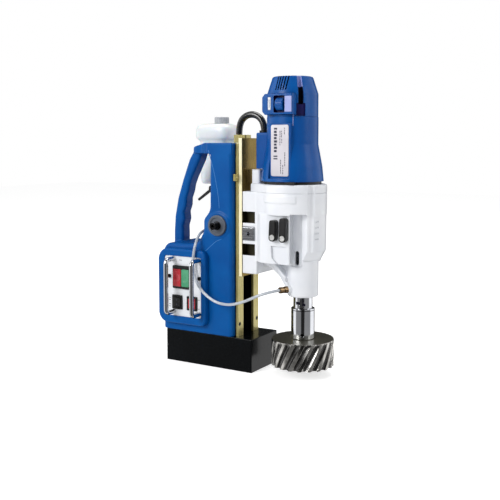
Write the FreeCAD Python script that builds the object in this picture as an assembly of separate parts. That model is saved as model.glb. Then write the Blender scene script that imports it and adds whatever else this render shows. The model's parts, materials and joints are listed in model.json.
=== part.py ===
import FreeCAD, Part
import math
import os

V = FreeCAD.Vector
os.makedirs("parts", exist_ok=True)

# Magnetic drill press. Millimetres. X towards the drilling head, -Y the control side, Z up.
# The origin is the centre of the magnet foot's underside.

# Foot
BASE_L = 220.0
BASE_W = 110.0
BASE_H = 70.4

# Stand
STAND_TOP = 481.0
FRONT_X = 62.0
COLUMN_BACK_X = 6.0
REAR_X = -119.0
BODY_TOP = 262.0
DECK_T = 23.0
HALF_W = BASE_W / 2

# Feed shaft and its rack pair
FEED_X = 28.7
FEED_Z = 307.0
GEAR_MODULE = 2.0
PINION_TEETH = 16
PINION_R = GEAR_MODULE * PINION_TEETH / 2
PITCH_X = FEED_X + PINION_R

# Slide
PLATE_X0 = 70.0
PLATE_T = 8.0
PLATE_HALF = 40.0
SLIDE_Z0 = 200.0
SLIDE_Z1 = 491.0
NECK_HALF = 20.0
FLANGE_HALF = 26.9
RUN = 0.1

# Drilling head
SPINDLE_X = 202.0
MOTOR_X = 176.0
CASE_R = 67.0
CASE_X = 181.0
CASE_Z0 = 243.0
CASE_Z1 = 380.0
COVER_Z1 = 397.0
MOTOR_Z0 = 403.0
SEAM_Z = 533.0
MOTOR_TOP = 615.0
MOTOR_R = 53.0
MOTOR_WALL = 7.0
STATOR_R = MOTOR_R - 10.0
ROTOR_R = MOTOR_R - 23.5
AIR_GAP = 1.0
FAN_R = MOTOR_R - 17.0
QUILL_R = 30.5
QUILL_Z0 = 165.0
SPINDLE_R = 20.0
BEARING_R = SPINDLE_R + 6.0
SPINDLE_ROOM = 2.5
ARBOR_R = 24.5
CUTTER_R = 65.0
CUTTER_Z0 = 20.0
CUTTER_H = 56.0

# Control box
BOX_X0 = -122.0
BOX_X1 = 3.0
BOX_Z0 = 87.0
BOX_Z1 = 252.0
BOX_OUT = 14.0
PANEL_X0 = -104.0
PANEL_X1 = -7.5
PANEL_Z0 = 104.5
PANEL_Z1 = 236.5

# Cords
HOSE_D = 6.0
CONDUIT_D = 14.0


def box(x0, x1, y0, y1, z0, z1):
    return Part.makeBox(x1 - x0, y1 - y0, z1 - z0, V(x0, y0, z0))


def cyl(x, y, z, r, h, d=(0, 0, 1)):
    return Part.makeCylinder(r, h, V(x, y, z), V(*d))


def cone(x, y, z, r0, r1, h, d=(0, 0, 1)):
    return Part.makeCone(r0, r1, h, V(x, y, z), V(*d))


def tube(x, y, z, r_out, r_in, h, d=(0, 0, 1)):
    return cyl(x, y, z, r_out, h, d).cut(cyl(x, y, z, r_in, h, d))


def rounded(corners):
    """Closed wire through (point, radius) corners, each corner an arc tangent to its two sides."""
    n = len(corners)
    ends = []
    for i in range(n):
        p, r = corners[i]
        a = corners[i - 1][0].sub(p)
        b = corners[(i + 1) % n][0].sub(p)
        a.normalize()
        b.normalize()
        if r <= 0:
            ends.append((p, None, p))
            continue
        half = a.getAngle(b) / 2
        t = r / math.tan(half)
        mid = a.add(b)
        mid.normalize()
        bulge = mid.multiply(r / math.sin(half) - r)
        ends.append((p.add(V(a).multiply(t)), p.add(bulge), p.add(V(b).multiply(t))))
    edges = []
    for i in range(n):
        start, via, stop = ends[i]
        if via is not None:
            edges.append(Part.Arc(start, via, stop).toShape())
        nxt = ends[(i + 1) % n][0]
        if stop.sub(nxt).Length > 1e-6:
            edges.append(Part.LineSegment(stop, nxt).toShape())
    return Part.Wire(edges)


def side_prism(corners, y0, y1):
    """Outline drawn in X and Z, extruded across the machine."""
    wire = rounded([(V(x, y0, z), r) for x, z, r in corners])
    return Part.Face(wire).extrude(V(0, y1 - y0, 0))


def plan_prism(corners, z0, z1):
    """Outline drawn in X and Y, extruded upwards."""
    wire = rounded([(V(x, y, z0), r) for x, y, r in corners])
    return Part.Face(wire).extrude(V(0, 0, z1 - z0))


def side_box(x0, x1, z0, z1, r, y0, y1):
    return side_prism([(x0, z0, r), (x1, z0, r), (x1, z1, r), (x0, z1, r)], y0, y1)


def plan_box(x0, x1, y0, y1, r, z0, z1):
    return plan_prism([(x0, y0, r), (x1, y0, r), (x1, y1, r), (x0, y1, r)], z0, z1)


def fuse(shapes):
    out = shapes[0]
    for s in shapes[1:]:
        out = out.fuse(s)
    return out.removeSplitter()


def cut(shape, tools):
    for t in tools:
        shape = shape.cut(t)
    return shape


def soften(shape, radius, pick):
    """Fillet the edges that pick accepts, or leave them sharp where the radius has no room."""
    edges = [e for e in shape.Edges if pick(e)]
    try:
        out = shape.makeFillet(radius, edges)
        if out.isValid():
            return out
    except Part.OCCError:
        pass
    return shape


def upright(e):
    a, b = e.Vertexes[0].Point, e.Vertexes[-1].Point
    return abs(a.x - b.x) < 1e-4 and abs(a.y - b.y) < 1e-4 and abs(a.z - b.z) > 1


def at_level(z):
    return lambda e: all(abs(v.Z - z) < 1e-3 for v in e.Vertexes) and e.BoundBox.ZLength < 1e-3


def save(node, shape):
    shape.exportStep("parts/" + node + ".step")


def group(shapes):
    return Part.makeCompound(shapes)


def cap_screw(x, y, z, d, shank, length, head_r, head_h):
    """Socket head screw: head seat at the point, d points from the head into the thread."""
    dv = V(*d)
    back = V(dv).multiply(-head_h)
    head = Part.makeCylinder(head_r, head_h, V(x, y, z).add(back), dv)
    hexa = Part.makeCylinder(head_r * 0.5, head_h * 0.6, V(x, y, z).add(back), dv)
    body = Part.makeCylinder(shank, length, V(x, y, z), dv)
    return head.cut(hexa).fuse(body)


def gear_outline(module, teeth, slack):
    """Involute tooth outline about the origin, tooth tips cut by the addendum circle."""
    r = module * teeth / 2
    tip, root = r + module, r - 1.2 * module
    base = r * math.cos(math.radians(20))
    inv = math.tan(math.radians(20)) - math.radians(20)
    half = math.pi / (2 * teeth) - slack / (2 * r)
    pts = []
    steps = 4
    for k in range(teeth):
        mid = 2 * math.pi * k / teeth
        flank = []
        for s in range(steps + 1):
            rr = max(base, root) + (tip - max(base, root)) * s / steps
            al = math.acos(min(1.0, base / rr))
            flank.append((rr, half + inv - (math.tan(al) - al)))
        if root < base:
            flank.insert(0, (root, flank[0][1]))
        for rr, an in flank:
            pts.append((rr * math.cos(mid - an), rr * math.sin(mid - an)))
        for rr, an in reversed(flank):
            pts.append((rr * math.cos(mid + an), rr * math.sin(mid + an)))
    return pts


def spur_gear(module, teeth, slack, width):
    pts = [V(a, b, 0) for a, b in gear_outline(module, teeth, slack)]
    return Part.Face(Part.makePolygon(pts + [pts[0]])).extrude(V(0, 0, width))


def cord(points, diameter, name):
    """Tube along straight runs and the tangent arcs between them."""
    pts = [V(*p) for p in points]
    edges = []
    at = pts[0]
    radii = []
    for i in range(1, len(pts) - 1):
        a = pts[i - 1].sub(pts[i])
        b = pts[i + 1].sub(pts[i])
        shorter = min(a.Length, b.Length)
        half_turn = (math.pi - a.getAngle(b)) / 2
        radius = 0.45 * shorter / math.tan(half_turn)
        radii.append(radius)
        t = 0.45 * shorter
        a.normalize()
        b.normalize()
        mid = a.add(b)
        mid.normalize()
        bulge = mid.multiply(radius / math.cos(half_turn) - radius)
        p0 = pts[i].add(V(a).multiply(t))
        p1 = pts[i].add(bulge)
        p2 = pts[i].add(V(b).multiply(t))
        edges.append(Part.LineSegment(at, p0).toShape())
        edges.append(Part.Arc(p0, p1, p2).toShape())
        at = p2
    edges.append(Part.LineSegment(at, pts[-1]).toShape())
    spine = Part.Wire(edges)
    start = Part.Wire([Part.Circle(pts[0], pts[1].sub(pts[0]), diameter / 2).toShape()])
    shape = spine.makePipeShell([start], True, True)
    want = math.pi * diameter ** 2 / 4 * spine.Length
    print("%s: length %.1f, smallest radius %.1f, volume %.4f of expected"
          % (name, spine.Length, min(radii), shape.Volume / want))
    return shape


# ---------------------------------------------------------------- magnet foot
POLE_T = 20.0
POCKET_D = 45.0
pocket_out = plan_box(-BASE_L / 2 + POLE_T, BASE_L / 2 - POLE_T, -HALF_W + 16, HALF_W - 16, 12, 0, POCKET_D)
POCKET_X = BASE_L / 2 - POLE_T
pocket_in = plan_box(-POCKET_X + 20, POCKET_X - 20, -HALF_W + 36, HALF_W - 36, 8, 0, POCKET_D)
foot = plan_box(-BASE_L / 2, BASE_L / 2, -HALF_W, HALF_W, 2.0, 0, BASE_H)
foot = soften(foot, 1.2, at_level(BASE_H))
save("magnet_base", foot.cut(pocket_out.cut(pocket_in)))
coil = plan_box(-POCKET_X + 1, POCKET_X - 1, -HALF_W + 17, HALF_W - 17, 11, 9, POCKET_D - 1)
coil_in = plan_box(-POCKET_X + 19, POCKET_X - 19, -HALF_W + 35, HALF_W - 35, 9, 0, POCKET_D)
save("magnet_coil", coil.cut(coil_in))
seal = pocket_out.cut(pocket_in).common(box(-BASE_L, BASE_L, -BASE_W, BASE_W, 0.5, 8.0))
save("magnet_resin", seal)

# ---------------------------------------------------------------- stand housing
body = side_prism([
    (REAR_X, BASE_H, 0), (FRONT_X, BASE_H, 0), (FRONT_X, STAND_TOP, 3), (COLUMN_BACK_X, STAND_TOP, 1),
    (COLUMN_BACK_X - 1.5, 338, 26), (-12, 318, 14), (-12, 292, 24), (-27, BODY_TOP + 4, 22),
    (-60, BODY_TOP, 20), (REAR_X, BODY_TOP, 20)], -HALF_W, HALF_W)
body = soften(body, 9.0, lambda e: upright(e) and e.CenterOfMass.x < REAR_X + 1)
deck = plan_prism([
    (FRONT_X, -HALF_W, 0), (FRONT_X, HALF_W, 0), (COLUMN_BACK_X - 6, HALF_W, 10), (-34, 24, 14),
    (-64, 22, 16), (-64, -22, 16), (-34, -24, 14), (COLUMN_BACK_X - 6, -HALF_W, 10)],
    STAND_TOP - DECK_T, STAND_TOP)
deck_side = side_prism([
    (FRONT_X, STAND_TOP - DECK_T, 0), (FRONT_X, STAND_TOP, 3), (-26, STAND_TOP, 40),
    (-64, STAND_TOP - 10, 9), (-62, STAND_TOP - DECK_T, 5)], -HALF_W, HALF_W)
deck = deck.common(deck_side)
fillet_web = side_prism([
    (COLUMN_BACK_X + 2, STAND_TOP - DECK_T - 14, 0), (COLUMN_BACK_X + 2, STAND_TOP - DECK_T + 4, 0),
    (-12, STAND_TOP - DECK_T + 4, 0), (-12, STAND_TOP - DECK_T, 3),
    (COLUMN_BACK_X - 2, STAND_TOP - DECK_T, 8)], -HALF_W + 8, HALF_W - 8)
bosses = [cyl(FEED_X, -HALF_W - 2.5, FEED_Z, 27, BASE_W + 5, (0, 1, 0))]
housing = fuse([body, deck, fillet_web] + bosses)
WALL = 7.0
GUIDE_X = 36.0
GUIDE_HALF = 31.0
front_slot = box(GUIDE_X, FRONT_X + 1, -GUIDE_HALF, GUIDE_HALF, BASE_H - 1, STAND_TOP + 1)
lower_room = plan_box(REAR_X + WALL, GUIDE_X - 8, -HALF_W + WALL, HALF_W - WALL, 6, BASE_H + 6, BODY_TOP - 12)
panel_hole = side_box(PANEL_X0 + 4, PANEL_X1 - 4, PANEL_Z0 + 5, PANEL_Z1 - 5, 6,
                      -HALF_W - 1, -HALF_W + WALL + 1)
side_rooms = [box(14, FRONT_X - 6, s * 38 - 5.5, s * 38 + 5.5 + 5, BASE_H + 8, FEED_Z - 40) for s in (1,)]
side_rooms += [box(14, FRONT_X - 6, -48.5, -37.5, BASE_H + 8, FEED_Z - 40)]
side_rooms += [box(14, FRONT_X - 6, a, a + 11, FEED_Z + 40, STAND_TOP - 30) for a in (-48.5, 37.5)]
back_room = box(12, GUIDE_X - 5, -28, 28, FEED_Z + 40, STAND_TOP - 30)
wire_way = box(14, GUIDE_X - 6, -28, 28, BODY_TOP - 20, FEED_Z - 34)
feed_bore = cyl(FEED_X, -HALF_W - 5, FEED_Z, 13, BASE_W + 10, (0, 1, 0))
pinion_room = cyl(FEED_X, -12, FEED_Z, PINION_R + GEAR_MODULE + 1.2, 24, (0, 1, 0))
housing = cut(housing, [front_slot, lower_room, panel_hole, back_room, wire_way, feed_bore, pinion_room])
housing = cut(housing, side_rooms)
CORD_Z = 112.0
housing = housing.cut(cyl(REAR_X - 2, 24, CORD_Z, 10.0, WALL + 6, (1, 0, 0)))
hole_zs = (BASE_H + 26, 218, 279, 340, STAND_TOP - 32)
housing = cut(housing, [cyl(FRONT_X - 12, s * 35.5, z, 2.5, 14, (1, 0, 0)) for s in (-1, 1) for z in hole_zs])
# The casting comes in three: lower body, column and top deck
ALL = 400.0
column = housing.common(box(-ALL, ALL, -ALL, ALL, BODY_TOP, STAND_TOP - DECK_T))
column = column.cut(fillet_web)
save("stand_housing", housing.common(box(-ALL, ALL, -ALL, ALL, 0, BODY_TOP)))
save("stand_column", column)
save("stand_deck", housing.cut(box(-ALL, ALL, -ALL, ALL, 0, STAND_TOP - DECK_T)).fuse(fillet_web.cut(body)))

# Carry handle: thick grip with finger grooves on its inner side
GRIP_HALF = 17.0
outer = [(-74, 446), (-92, 400), (-106, 359), (-114.5, 318), (-117, 284), (-117.5, BODY_TOP - 8)]
inner = [(-93, BODY_TOP - 8), (-92.5, 276)]
for k in range(4):
    z = 296 + 31 * k
    bow = -92 + 0.0016 * (z - 286) ** 2 + 0.02 * (z - 286)
    inner.append((bow - 1.5, z))
    inner.append((bow + 3.6 + 2.0 * k / 4, z + 15.5))
inner.append((-46, 446))
corners = [(-56, STAND_TOP - 8, 2)] + [(x, z, 8 if z > BODY_TOP else 0) for x, z in outer]
corners += [(x, z, 6 if z > BODY_TOP else 0) for x, z in inner] + [(-38, STAND_TOP - 8, 2)]
grip = side_prism(corners, -GRIP_HALF, GRIP_HALF)
grip = soften(grip, 7.0, lambda e: e.BoundBox.YLength < 1e-3)
grip = grip.cut(body).cut(deck)
save("carry_handle", sorted(grip.Solids, key=lambda g: g.Volume)[-1])

# ---------------------------------------------------------------- control box
y_face = -HALF_W - BOX_OUT
bezel = side_prism([(BOX_X0, BOX_Z0, 24), (BOX_X1, BOX_Z0, 15), (BOX_X1, BOX_Z1, 15), (BOX_X0, BOX_Z1, 26)],
                   y_face, -HALF_W)
front_edges = [e for e in bezel.Edges if all(abs(v.Y - y_face) < 1e-3 for v in e.Vertexes)]
bezel = bezel.makeFillet(4.5, front_edges)
panel_seat = side_box(PANEL_X0, PANEL_X1, PANEL_Z0, PANEL_Z1, 5, y_face - 1, y_face + 4)
room = side_box(PANEL_X0 + 4, PANEL_X1 - 4, PANEL_Z0 + 5, PANEL_Z1 - 5, 6, y_face, -HALF_W + 1)
bezel = bezel.cut(panel_seat).cut(room)
y_panel = y_face + 2.0
SW_X0, SW_X1, SW_Z0, SW_Z1 = -81.0, -33.0, 165.5, 216.0
ROCKERS = (-70.3, -31.2)
ROCKER_Z = 135.3
ROCKER_W = 26.5
ROCKER_H = 31.0
GUARD_XS = (-80.0, -8.0)
GUARD_ZS = (114.0, 230.0)
GUARD_R = 5.0
GUARD_OUT = 29.0
panel = side_box(PANEL_X0, PANEL_X1, PANEL_Z0, PANEL_Z1, 5, y_panel, y_face + 4)
panel = panel.cut(side_box(SW_X0 + 3, SW_X1 - 3, SW_Z0 + 3, SW_Z1 - 3, 2, y_panel - 1, y_panel + 4))
for rx in ROCKERS:
    panel = panel.cut(side_box(rx - 11, rx + 11, ROCKER_Z - 13.2, ROCKER_Z + 13.2, 1, y_panel - 1, y_panel + 4))
screw_spots = [(-91.0, 191.3), (-11.6, 191.3)]
panel = cut(panel, [cyl(x, y_panel - 1, z, 2.55, 5, (0, 1, 0)) for x, z in screw_spots])
guard_feet = [(-80.0, z) for z in GUARD_ZS] + [(-13.0, z) for z in GUARD_ZS]
panel = cut(panel, [cyl(x, y_panel - 1, z, 3.0, 5, (0, 1, 0)) for x, z in guard_feet])
save("control_panel", panel)
bezel = cut(bezel, [cyl(x, y_panel - 1, z, 3.0, 8, (0, 1, 0)) for x, z in guard_feet])
bezel = cut(bezel, [cyl(x, y_panel - 1, z, 2.55, 16, (0, 1, 0)) for x, z in screw_spots])
save("control_box", bezel)


def guard_bar(x):
    """Round bar bent into a staple: two feet in the panel, one upright run in front of the switches."""
    z0, z1 = GUARD_ZS
    r = GUARD_R
    y_out = y_panel - GUARD_OUT
    bend = 9.0
    p = [V(x, y_panel, z0), V(x, y_out + bend, z0), V(x, y_out, z0 + bend), V(x, y_out, z1 - bend),
         V(x, y_out + bend, z1), V(x, y_panel, z1)]
    k = bend * (1 - math.sqrt(0.5))
    m0 = V(x, y_out + k, z0 + k)
    m1 = V(x, y_out + k, z1 - k)
    path = Part.Wire([
        Part.LineSegment(p[0], p[1]).toShape(), Part.Arc(p[1], m0, p[2]).toShape(),
        Part.LineSegment(p[2], p[3]).toShape(), Part.Arc(p[3], m1, p[4]).toShape(),
        Part.LineSegment(p[4], p[5]).toShape()])
    start = Part.Wire([Part.Circle(p[0], V(0, -1, 0), r).toShape()])
    bar = path.makePipeShell([start], True, True)
    pegs = [cyl(x, y_panel, z, 3.0, 3.6, (0, 1, 0)) for z in GUARD_ZS]
    return fuse([bar] + pegs)


guard_x = sorted(set(x for x, z in guard_feet))
save("guard_bars", group([guard_bar(x) for x in guard_x]))

# Start and stop switch: one black body, two buttons
switch = side_box(SW_X0, SW_X1, SW_Z0, SW_Z1, 3, y_panel - 3.5, y_panel)
switch = switch.fuse(box(SW_X0 + 3.5, SW_X1 - 3.5, y_panel, y_panel + 34, SW_Z0 + 3.5, SW_Z1 - 3.5))
BTN_Z0, BTN_Z1 = SW_Z0 + 5.5, SW_Z1 - 7.5
BTN_MID = SW_X0 + 24.6
BUTTONS = {"stop_button": (SW_X0 + 3.4, BTN_MID - 0.9), "start_button": (BTN_MID + 0.9, SW_X1 - 3.4)}
for name, (bx0, bx1) in BUTTONS.items():
    well = box(bx0 - 0.25, bx1 + 0.25, y_panel - 4, y_panel + 9, BTN_Z0 - 0.25, BTN_Z1 + 0.25)
    switch = switch.cut(well)
    button = side_box(bx0, bx1, BTN_Z0, BTN_Z1, 2, y_panel - 6.5, y_panel + 4.5)
    dish_x = (bx0 + bx1) / 2
    dish = Part.makeSphere(30, V(dish_x, y_panel - 35.2, (BTN_Z0 + BTN_Z1) / 2))
    save(name, button.cut(dish))

# Two rocker switches with identical frames
frames = []
for rx in ROCKERS:
    f = side_box(rx - ROCKER_W / 2, rx + ROCKER_W / 2, ROCKER_Z - ROCKER_H / 2, ROCKER_Z + ROCKER_H / 2, 2,
                 y_panel - 2.5, y_panel)
    f = f.fuse(box(rx - 10.8, rx + 10.8, y_panel, y_panel + 24, ROCKER_Z - 13, ROCKER_Z + 13))
    f = f.cut(box(rx - 9.2, rx + 9.2, y_panel - 3, y_panel + 13, ROCKER_Z - 12, ROCKER_Z + 12))
    frames.append(f.removeSplitter())
save("switch_bodies", group([switch.removeSplitter()] + frames))


def rocker(rx, half):
    """Rocker cap tilted about its cross pin, lower half proud."""
    cap = box(rx - half, rx + half, y_panel - 4.2, y_panel + 3.5, ROCKER_Z - 10.4, ROCKER_Z + 10.4)
    hollow = cyl(rx - half - 1, y_panel - 44, ROCKER_Z, 40.6, 2 * half + 2, (1, 0, 0))
    cap = cap.cut(hollow).fuse(cyl(rx - half, y_panel + 2, ROCKER_Z, 3.0, 2 * half, (1, 0, 0)))
    return cap.removeSplitter()


save("direction_rocker", rocker(ROCKERS[0], 8.9))
save("magnet_rocker", rocker(ROCKERS[1], 8.9))

# Control electronics on the inner wall of the box room
board = box(-96, -16, -18, -16.4, 96, 176)
board = fuse([board, box(-88, -62, -33, -18, 104, 140), box(-54, -40, -30, -18, 104, 118),
              cyl(-34, -18, 160, 8, 20, (0, -1, 0)), box(-88, -48, -26, -18, 150, 168)])
posts = [cyl(x, -16.4, z, 3, 16.4 + HALF_W - WALL, (0, 1, 0)) for x in (-92, -20) for z in (100, 172)]
save("control_board", fuse([board] + posts))

# ---------------------------------------------------------------- guide on the stand front
back_wall = box(GUIDE_X, GUIDE_X + 3, -GUIDE_HALF, GUIDE_HALF, BASE_H, STAND_TOP - 1)
sides = [box(GUIDE_X, FRONT_X, -GUIDE_HALF, -GUIDE_HALF + 3.5, BASE_H, STAND_TOP - 1),
         box(GUIDE_X, FRONT_X, GUIDE_HALF - 3.5, GUIDE_HALF, BASE_H, STAND_TOP - 1)]
RAIL_OUT = 42.0
lips = [box(FRONT_X, FRONT_X + 2.5, -RAIL_OUT, -NECK_HALF - RUN - 1.5, BASE_H, STAND_TOP - 1),
        box(FRONT_X, FRONT_X + 2.5, NECK_HALF + RUN + 1.5, RAIL_OUT, BASE_H, STAND_TOP - 1)]
channel = fuse([back_wall] + sides + lips)
channel = channel.cut(cyl(FEED_X, -10.5, FEED_Z, PINION_R + GEAR_MODULE + 1.2, 21, (0, 1, 0)))
channel = channel.cut(cyl(FEED_X, -HALF_W, FEED_Z, 9.6, BASE_W, (0, 1, 0)))
channel = cut(channel, [cyl(FRONT_X - 1, s * 35.5, z, 2.55, 5, (1, 0, 0)) for s in (-1, 1) for z in hole_zs])
save("guide_channel", channel)
RAIL_X0 = FRONT_X + 2.5
RAIL_X1 = PLATE_X0 - RUN
rails = []
for s in (-1, 1):
    y0, y1 = sorted((s * (NECK_HALF + 1), s * RAIL_OUT))
    rail = box(RAIL_X0, RAIL_X1, y0, y1, BASE_H, STAND_TOP - 1)
    for z in hole_zs:
        rail = rail.cut(cyl(RAIL_X0 - 1, s * 35.5, z, 2.55, 10, (1, 0, 0)))
        rail = rail.cut(cyl(RAIL_X1 - 3.4, s * 35.5, z, 4.5, 10, (1, 0, 0)))
    rails.append(rail)
save("guide_rails", group(rails))
screws = [cap_screw(RAIL_X1 - 3.4, s * 35.5, z, (-1, 0, 0), 2.5, 12, 4.2, 3.2)
          for s in (-1, 1) for z in hole_zs]
screws += [cap_screw(x, y_panel, z, (0, 1, 0), 2.5, 12, 4.2, 3.2) for x, z in screw_spots]
save("small_screws", group(screws))
stop_block = box(RAIL_X0, RAIL_X0 + 6, -53, -43.5, 402, 416)
stop_block = soften(stop_block, 1.0, upright)
stop_block = stop_block.fuse(cyl(RAIL_X0 + 6, -48.2, 409, 3.4, 2.2, (1, 0, 0)))
save("end_stop", stop_block)

# ---------------------------------------------------------------- feed shaft
BOSS_Y = HALF_W + 2.5
covers = []
for s in (-1, 1):
    plate = cyl(FEED_X, s * BOSS_Y, FEED_Z, 22, 5, (0, s, 0))
    plate = soften(plate, 1.2, lambda e: abs(abs(e.CenterOfMass.y) - BOSS_Y - 5) < 0.1 and e.Length > 100)
    plate = plate.cut(cyl(FEED_X, s * (BOSS_Y + 3.4), FEED_Z, 17, 2, (0, s, 0)))
    plate = plate.cut(cyl(FEED_X, s * (BOSS_Y - 1), FEED_Z, 9.5, 8, (0, s, 0)))
    covers.append(plate)
save("feed_covers", group(covers))
bushes = [tube(FEED_X, s * (BOSS_Y - 24), FEED_Z, 13, 9.04, 24, (0, s, 0)) for s in (-1, 1)]
save("feed_bushes", group(bushes))
SHAFT_END = BOSS_Y + 20
shaft = cyl(FEED_X, -SHAFT_END, FEED_Z, 7.5, 2 * SHAFT_END - 14, (0, 1, 0))
shaft = shaft.fuse(cyl(FEED_X, -BOSS_Y - 5.5, FEED_Z, 9.0, 2 * BOSS_Y + 11, (0, 1, 0)))
shaft = shaft.cut(cyl(FEED_X, -SHAFT_END - 1, FEED_Z, 4.0, 19, (0, 1, 0)))
save("feed_shaft", shaft.removeSplitter())
pinion = spur_gear(GEAR_MODULE, PINION_TEETH, 0.3, 18)
pinion.rotate(V(0, 0, 0), V(1, 0, 0), 90)
pinion.translate(V(FEED_X, 9, FEED_Z))
save("feed_pinion", pinion.cut(cyl(FEED_X, -10, FEED_Z, 9.0, 20, (0, 1, 0))))

# ---------------------------------------------------------------- coolant tank
TANK_X, TANK_Y = -60.0, 78.0
TANK_Z0, TANK_Z1 = 387.0, 524.0


def oval_prism(a, b, r, z0, z1):
    return plan_box(TANK_X - a, TANK_X + a, TANK_Y - b, TANK_Y + b, r, z0, z1)


low = oval_prism(36, 27, 18, TANK_Z0, 488)
high = oval_prism(46, 34, 24, 488, TANK_Z1)
tank = low.fuse(high).removeSplitter()
tank = soften(tank, 12.0, at_level(TANK_Z1))
tank = soften(tank, 5.0, at_level(TANK_Z0))
hollow = oval_prism(33.5, 24.5, 16, TANK_Z0 + 2.5, 488).fuse(oval_prism(43.5, 31.5, 22, 490.5, TANK_Z1 - 14))
hollow = hollow.fuse(oval_prism(33.5, 24.5, 16, 486, 492))
CAP_X = TANK_X + 11.5
NECK_R = 13.2
neck = cyl(CAP_X, TANK_Y, TANK_Z1 - 4, NECK_R, 12)
tank = tank.fuse(neck).cut(hollow).cut(cyl(CAP_X, TANK_Y, TANK_Z1 - 20, NECK_R - 2.5, 40))
TAP_X, TAP_Y = TANK_X - 4, TANK_Y
tank = tank.cut(cyl(TAP_X, TAP_Y, TANK_Z0 - 1, 5.0, 8))
save("coolant_tank", tank.removeSplitter())
CAP_R = NECK_R + 3.3
cap = cyl(CAP_X, TANK_Y, TANK_Z1 + 1.5, CAP_R, 14)
cap = soften(cap, 2.0, at_level(TANK_Z1 + 15.5))
ribs = []
for k in range(20):
    a = 2 * math.pi * k / 20
    rib_r = CAP_R + 0.4
    ribs.append(cyl(CAP_X + rib_r * math.cos(a), TANK_Y + rib_r * math.sin(a), TANK_Z1 + 1, 1.0, 11))
cap = cut(cap, [cyl(CAP_X, TANK_Y, TANK_Z1 + 1, NECK_R + 0.3, 8.6)] + ribs)
save("tank_cap", cap)
arm = box(-20, FRONT_X - 12, HALF_W, HALF_W + 4, 428, 452)
arm = arm.fuse(box(-22, -18, HALF_W, HALF_W + 8, 428, 452))
band = oval_prism(39, 30, 21, 430, 450).cut(oval_prism(36, 27, 18, 429, 451))
band = band.cut(box(TANK_X - 60, TANK_X + 22, TANK_Y - 60, TANK_Y + 60, 420, 460))
link = box(TANK_X + 37, -18, HALF_W + 4, HALF_W + 8, 430, 450)
bolts = [cyl(x, HALF_W + 4, 440, 4, 3, (0, 1, 0)) for x in (20, 42)]
save("tank_bracket", fuse([arm, band, link.cut(oval_prism(36, 27, 18, 429, 451))] + bolts))
BARB_R = 1.9
tap = fuse([cyl(TAP_X, TAP_Y, TANK_Z0, 9, 3, (0, 0, -1)), cyl(TAP_X, TAP_Y, TANK_Z0 - 3, 7, 17, (0, 0, -1)),
            cyl(TAP_X, TAP_Y, TANK_Z0 - 20, BARB_R, 12, (0, 0, -1)),
            cone(TAP_X, TAP_Y, TANK_Z0 - 26, BARB_R + 0.6, BARB_R, 6, (0, 0, -1)),
            cyl(TAP_X, TAP_Y, TANK_Z0, 4.9, 6),
            cyl(TAP_X - 12, TAP_Y, TANK_Z0 - 11, 5.5, 12, (1, 0, 0))])
tap = tap.cut(cyl(TAP_X, TAP_Y, TANK_Z0 - 40, BARB_R - 0.8, 50))
tap = tap.cut(cyl(TAP_X - 13, TAP_Y, TANK_Z0 - 11, 3.06, 9, (1, 0, 0)))
save("tank_tap", tap)
lever = cyl(TAP_X - 16, TAP_Y, TANK_Z0 - 11, 3.0, 11, (1, 0, 0))
lever = lever.fuse(cyl(TAP_X - 17.5, TAP_Y, TANK_Z0 - 11, 6.0, 4.9, (1, 0, 0)))
LEVER_L = 45.0
paddle = plan_prism([(0, -4.2, 1), (LEVER_L, -2.2, 1), (LEVER_L, 2.2, 1), (0, 4.2, 1)], 0, 5.0)
paddle.rotate(V(0, 0, 0), V(0, 1, 0), 145)
paddle.translate(V(TAP_X - 14.5, TAP_Y, TANK_Z0 - 11))
clear = cyl(TAP_X - 12.4, TAP_Y, TANK_Z0 - 11, 14, 12, (1, 0, 0))
save("tap_lever", lever.fuse(paddle.cut(clear)).removeSplitter())

# Mains cord inlet at the back of the stand
inlet = tube(REAR_X - 12, 24, CORD_Z, 12, 5.0, 12, (1, 0, 0))
inlet = inlet.fuse(tube(REAR_X, 24, CORD_Z, 9.9, 5.0, WALL + 3, (1, 0, 0)))
inlet = inlet.cut(tube(REAR_X - 13, 24, CORD_Z, 14, 10.4, 7, (1, 0, 0)))
save("cord_inlet", inlet.removeSplitter())

# ---------------------------------------------------------------- slide
plate = box(PLATE_X0, PLATE_X0 + PLATE_T, -PLATE_HALF, PLATE_HALF, SLIDE_Z0, SLIDE_Z1)
plate = soften(plate, 1.0, lambda e: upright(e) and e.CenterOfMass.x > PLATE_X0 + 1)
T_TOP = STAND_TOP
slide = fuse([plate, box(FRONT_X - 1, PLATE_X0, -NECK_HALF, NECK_HALF, SLIDE_Z0, T_TOP),
              box(54.0, FRONT_X - RUN, -FLANGE_HALF, FLANGE_HALF, SLIDE_Z0, T_TOP)])
save("slide", slide)
pitch = math.pi * GEAR_MODULE
n_teeth = 38
rack_pts = []
z_first = FEED_Z - (16 - 0.5) * pitch
add, ded = GEAR_MODULE, 1.25 * GEAR_MODULE
half_t = (pitch / 2 - 0.3) / 2
slope = math.tan(math.radians(20))
for k in range(n_teeth):
    zc = z_first + k * pitch
    rack_pts.append((PITCH_X + ded, zc - half_t - ded * slope))
    rack_pts.append((PITCH_X - add, zc - half_t + add * slope))
    rack_pts.append((PITCH_X - add, zc + half_t - add * slope))
    rack_pts.append((PITCH_X + ded, zc + half_t + ded * slope))
z_low, z_high = rack_pts[0][1] - 1, rack_pts[-1][1] + 1
outline = [(PITCH_X + ded, z_low)] + rack_pts + [(PITCH_X + ded, z_high), (54.0, z_high), (54.0, z_low)]
wire = Part.makePolygon([V(x, -8, z) for x, z in outline + outline[:1]])
save("rack", Part.Face(wire).extrude(V(0, 16, 0)))

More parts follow.
